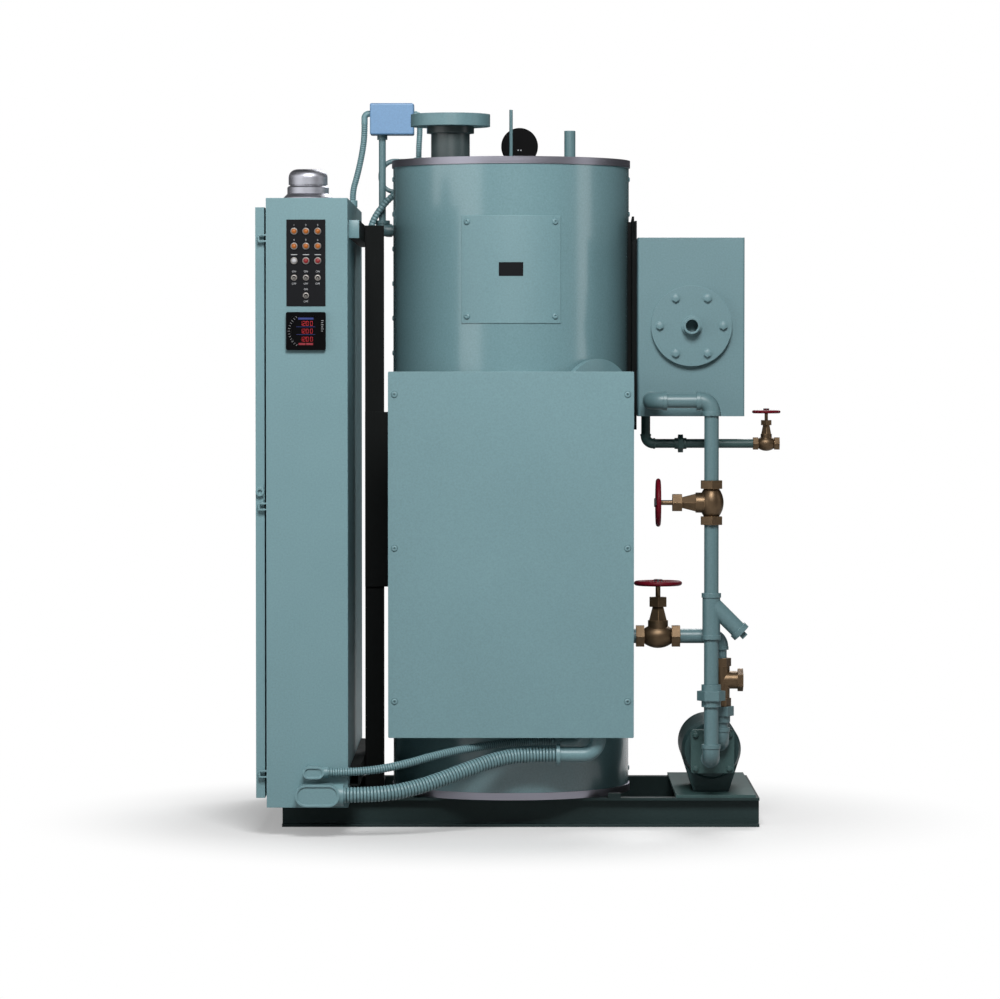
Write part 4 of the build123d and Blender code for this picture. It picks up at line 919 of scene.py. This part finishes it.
class BOILER_OT_gauge(bpy.types.Operator):
    """Gives the pressure gauge its dial, pointer, ring and back screws"""

    bl_idname = "boiler.gauge"
    bl_label = "Pressure gauge"

    # Middle and radius of the case in millimetres.
    middle_x, middle_z = 26, 2023
    case_radius = 56

    def execute(self, context):
        low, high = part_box("pressure_gauge")
        centre = Vector((self.middle_x * MM, high.y, self.middle_z * MM))
        radius = self.case_radius * MM
        dial = bmesh.new()
        spin_outline(dial, ((0.0, 0.6 * MM), (radius * 0.86, 0.6 * MM), (radius * 0.86, -0.3 * MM)),
                     facing(centre, (0, 1, 0)), steps=48)
        make_piece("gauge_dial", dial, "dial white")

        ring = bmesh.new()
        spin_outline(ring, ((radius * 0.86, -0.3 * MM), (radius * 0.86, 2.4 * MM), (radius * 0.92, 3.2 * MM),
                            (radius * 0.99, 2.0 * MM), (radius * 0.99, -0.3 * MM)),
                     facing(centre, (0, 1, 0)), steps=48)
        make_piece("gauge_ring", ring, "bright steel")

        marks = bmesh.new()
        spots = []
        words = []
        for i in range(31):
            angle = math.radians(225 - 9 * i)
            # Seen from the back, so the sweep runs the other way along X.
            across, up = -math.cos(angle), math.sin(angle)
            inner = radius * (0.68 if i % 3 == 0 else 0.74)
            matrix = Matrix.Translation((centre.x, centre.y + 0.7 * MM, centre.z)) @ Matrix.Rotation(
                -math.atan2(up, across), 4, "Y") @ Matrix.Translation(((inner + radius * 0.8) / 2, 0, 0))
            bmesh.ops.create_cube(marks, size=1.0, matrix=matrix @ Matrix.Diagonal(
                (radius * 0.8 - inner, 0.3 * MM, 0.7 * MM, 1)))
            if i % 6 == 0:
                words.append(str(i // 3))
                spots.append((centre.x + across * radius * 0.54, centre.y + 0.7 * MM,
                              centre.z + up * radius * 0.54))
        make_piece("gauge_ticks", marks, "black moulding", smooth=False)
        lettering(words, 10 * MM, spots, "gauge_numbers", "black moulding", facing_back=True)

        pointer = bmesh.new()
        turn = Matrix.Translation((centre.x, centre.y + 1.6 * MM, centre.z))
        turn = turn @ Matrix.Rotation(math.radians(-45), 4, "Y")
        flip = Matrix.Translation((0, 0, -radius * 0.26)) @ Matrix.Rotation(math.pi, 4, "X")
        bmesh.ops.create_cone(pointer, cap_ends=True, segments=4, radius1=2.0 * MM, radius2=0.4 * MM,
                              depth=radius * 0.8, matrix=turn @ flip @ Matrix.Diagonal((1, 0.3, 1, 1)))
        spin_outline(pointer, ((0.0, 1.4 * MM), (3.6 * MM, 1.2 * MM), (4.2 * MM, -0.8 * MM)),
                     facing((centre.x, centre.y + 1.2 * MM, centre.z), (0, 1, 0)), steps=20)
        make_piece("gauge_pointer", pointer, "black moulding")

        screws = bmesh.new()
        for shift in (-4, 4):
            spin_outline(screws, screw_outline(2.4 * MM, 1.6 * MM),
                         facing((centre.x + shift * MM, low.y, centre.z - 12 * MM), (0, -1, 0)), steps=16)
        make_piece("gauge_screws", screws, "printed white")
        return {"FINISHED"}


class BOILER_OT_stage(bpy.types.Operator):
    """Builds the pale floor, the soft lights and the camera at the photograph's angle"""

    bl_idname = "boiler.stage"
    bl_label = "Stage, lights and camera"

    camera_place = (0.0, -13.27, 1.368)
    camera_pitch = 1.78
    camera_yaw = 0.1425
    camera_lens = 159.3
    floor_radius = 9.0
    ambient = 0.03
    hall_light = 0.17

    def execute(self, context):
        scene = context.scene
        camera = bpy.data.objects.new("camera", bpy.data.cameras.new("camera"))
        camera.data.lens = self.camera_lens
        camera.data.sensor_width = 36.0
        camera.data.clip_end = 200.0
        camera.location = self.camera_place
        camera.rotation_euler = (math.radians(90 - self.camera_pitch), 0, math.radians(self.camera_yaw))
        scene.collection.objects.link(camera)
        scene.camera = camera

        lamps = (
            ("key_softbox", (0.2, -5.6, 5.0), (0.0, 0.0, 1.1), 2.2, 2.2, 470),
            ("left_wall", (-4.2, -3.1, 2.2), (0.0, 0.0, 1.4), 5.2, 4.0, 95),
            ("right_strip", (4.7, -1.4, 2.0), (0.2, -0.2, 1.3), 1.4, 3.4, 24),
            ("back_softbox", (1.6, 4.2, 5.0), (0.0, 0.0, 1.1), 3.0, 3.0, 240),
        )
        for name, place, aim, width, height, power in lamps:
            light = bpy.data.lights.new(name, "AREA")
            light.shape = "RECTANGLE"
            light.size = width
            light.size_y = height
            light.energy = power
            holder = bpy.data.objects.new(name, light)
            holder.location = place
            holder.rotation_euler = (Vector(aim) - Vector(place)).to_track_quat("-Z", "Y").to_euler()
            scene.collection.objects.link(holder)

        world = bpy.data.worlds.new("studio")
        world.use_nodes = True
        scene.world = world
        tree = world.node_tree
        background = tree.nodes["Background"]
        path = add_node(tree, "ShaderNodeLightPath")
        # Metal mirrors a dim hall in front of the boiler, and little behind it.
        way = add_node(tree, "ShaderNodeTexCoord").outputs["Generated"]
        ahead = add_node(tree, "ShaderNodeVectorMath", {0: way, 1: (0.0, -1.0, 0.0)}, operation="DOT_PRODUCT")
        hall = add_node(tree, "ShaderNodeMapRange", {
            "Value": ahead.outputs["Value"], "From Min": 0.1, "From Max": 0.9, "To Min": 0.0,
            "To Max": self.hall_light})
        mirrored = add_node(tree, "ShaderNodeMath", {
            0: path.outputs["Is Glossy Ray"], 1: hall.outputs["Result"]}, operation="MULTIPLY")
        clear = add_node(tree, "ShaderNodeMath", {
            0: path.outputs["Is Camera Ray"], 1: path.outputs["Is Transmission Ray"]}, operation="MAXIMUM")
        seen = add_node(tree, "ShaderNodeMath", {
            0: clear.outputs[0], 1: mirrored.outputs[0]}, operation="MAXIMUM")
        level = add_node(tree, "ShaderNodeMapRange", {
            "Value": seen.outputs[0], "To Min": self.ambient, "To Max": 1.0})
        background.inputs["Color"].default_value = (1.0, 1.0, 1.0, 1.0)
        tree.links.new(level.outputs["Result"], background.inputs["Strength"])

        shape = bmesh.new()
        bmesh.ops.create_circle(shape, cap_ends=True, segments=96, radius=self.floor_radius)
        mesh = bpy.data.meshes.new("floor")
        shape.to_mesh(mesh)
        shape.free()
        floor = bpy.data.objects.new("floor", mesh)
        scene.collection.objects.link(floor)
        material, tree, shader = new_material("pale studio floor")
        mesh.materials.append(material)
        shader.inputs["Roughness"].default_value = 0.8
        path = add_node(tree, "ShaderNodeLightPath")
        mirrored = add_node(tree, "ShaderNodeMath", {
            0: path.outputs["Is Glossy Ray"], 1: path.outputs["Is Transmission Ray"]}, operation="MAXIMUM")
        seen = add_node(tree, "ShaderNodeMath", {
            0: path.outputs["Is Camera Ray"], 1: mirrored.outputs[0]}, operation="MAXIMUM")
        # Seen pale, but it throws little light back up, so the undersides stay dark as in a large hall.
        tone = add_node(tree, "ShaderNodeMix", {
            "Factor_Float": seen.outputs[0], "A_Color": linear("#6E6E6E"), "B_Color": linear("#DCDCDC")},
            data_type="RGBA")
        tree.links.new(tone.outputs[MIXED], shader.inputs["Base Color"])
        place = add_node(tree, "ShaderNodeTexCoord").outputs["Object"]
        reach = add_node(tree, "ShaderNodeVectorMath", {0: place}, operation="LENGTH")
        # Near the boiler less of the floor is white emission, so a grey disk round it stands in as painted
        # shadow, besides the real shadows the shader catches; it fades to white further out.
        shadow_disk_fade = add_node(tree, "ShaderNodeMapRange", {
            "Value": reach.outputs["Value"], "From Min": 0.7, "From Max": 1.5, "To Min": 0.3, "To Max": 1.0},
            interpolation_type="SMOOTHSTEP")
        share = add_node(tree, "ShaderNodeMath", {
            0: path.outputs["Is Camera Ray"], 1: shadow_disk_fade.outputs["Result"]}, operation="MULTIPLY")
        white = add_node(tree, "ShaderNodeEmission", {"Color": (1.0, 1.0, 1.0, 1.0), "Strength": 1.0})
        blend = add_node(tree, "ShaderNodeMixShader", {
            0: share.outputs[0], 1: shader.outputs["BSDF"], 2: white.outputs["Emission"]})
        tree.links.new(blend.outputs["Shader"], tree.nodes["Material Output"].inputs["Surface"])
        scene.view_settings.view_transform = "Standard"
        return {"FINISHED"}


OPERATORS = (
    BOILER_OT_finish_nodes, BOILER_OT_conduits, BOILER_OT_screws, BOILER_OT_bolts, BOILER_OT_stems,
    BOILER_OT_lamps, BOILER_OT_toggles, BOILER_OT_plate_marks, BOILER_OT_meter, BOILER_OT_gauge,
    BOILER_OT_stage,
)


class BOILER_PT_dress(bpy.types.Panel):
    """Lists the boiler's settings and the steps of its dress"""

    bl_idname = "BOILER_PT_dress"
    bl_label = "Boiler"
    bl_space_type = "VIEW_3D"
    bl_region_type = "UI"
    bl_category = "Boiler"

    def draw(self, context):
        for group in (context.scene.boiler_colours, context.scene.boiler_sizes):
            for name in group.__annotations__:
                self.layout.prop(group, name)
        for operator in OPERATORS:
            self.layout.operator(operator.bl_idname)


CLASSES = (BoilerColours, BoilerSizes, *OPERATORS, BOILER_PT_dress)


def register():
    for cls in CLASSES:
        bpy.utils.register_class(cls)
    bpy.types.Scene.boiler_colours = PointerProperty(type=BoilerColours)
    bpy.types.Scene.boiler_sizes = PointerProperty(type=BoilerSizes)


def unregister():
    del bpy.types.Scene.boiler_sizes
    del bpy.types.Scene.boiler_colours
    for cls in reversed(CLASSES):
        bpy.utils.unregister_class(cls)


def main():
    register()
    bpy.ops.boiler.finish_nodes()
    bpy.ops.boiler.conduits()
    bpy.ops.boiler.screws()
    bpy.ops.boiler.bolts()
    bpy.ops.boiler.stems()
    bpy.ops.boiler.lamps()
    bpy.ops.boiler.toggles()
    bpy.ops.boiler.plate_marks()
    bpy.ops.boiler.meter()
    bpy.ops.boiler.gauge()
    bpy.ops.boiler.stage()


if __name__ == "__main__":
    main()
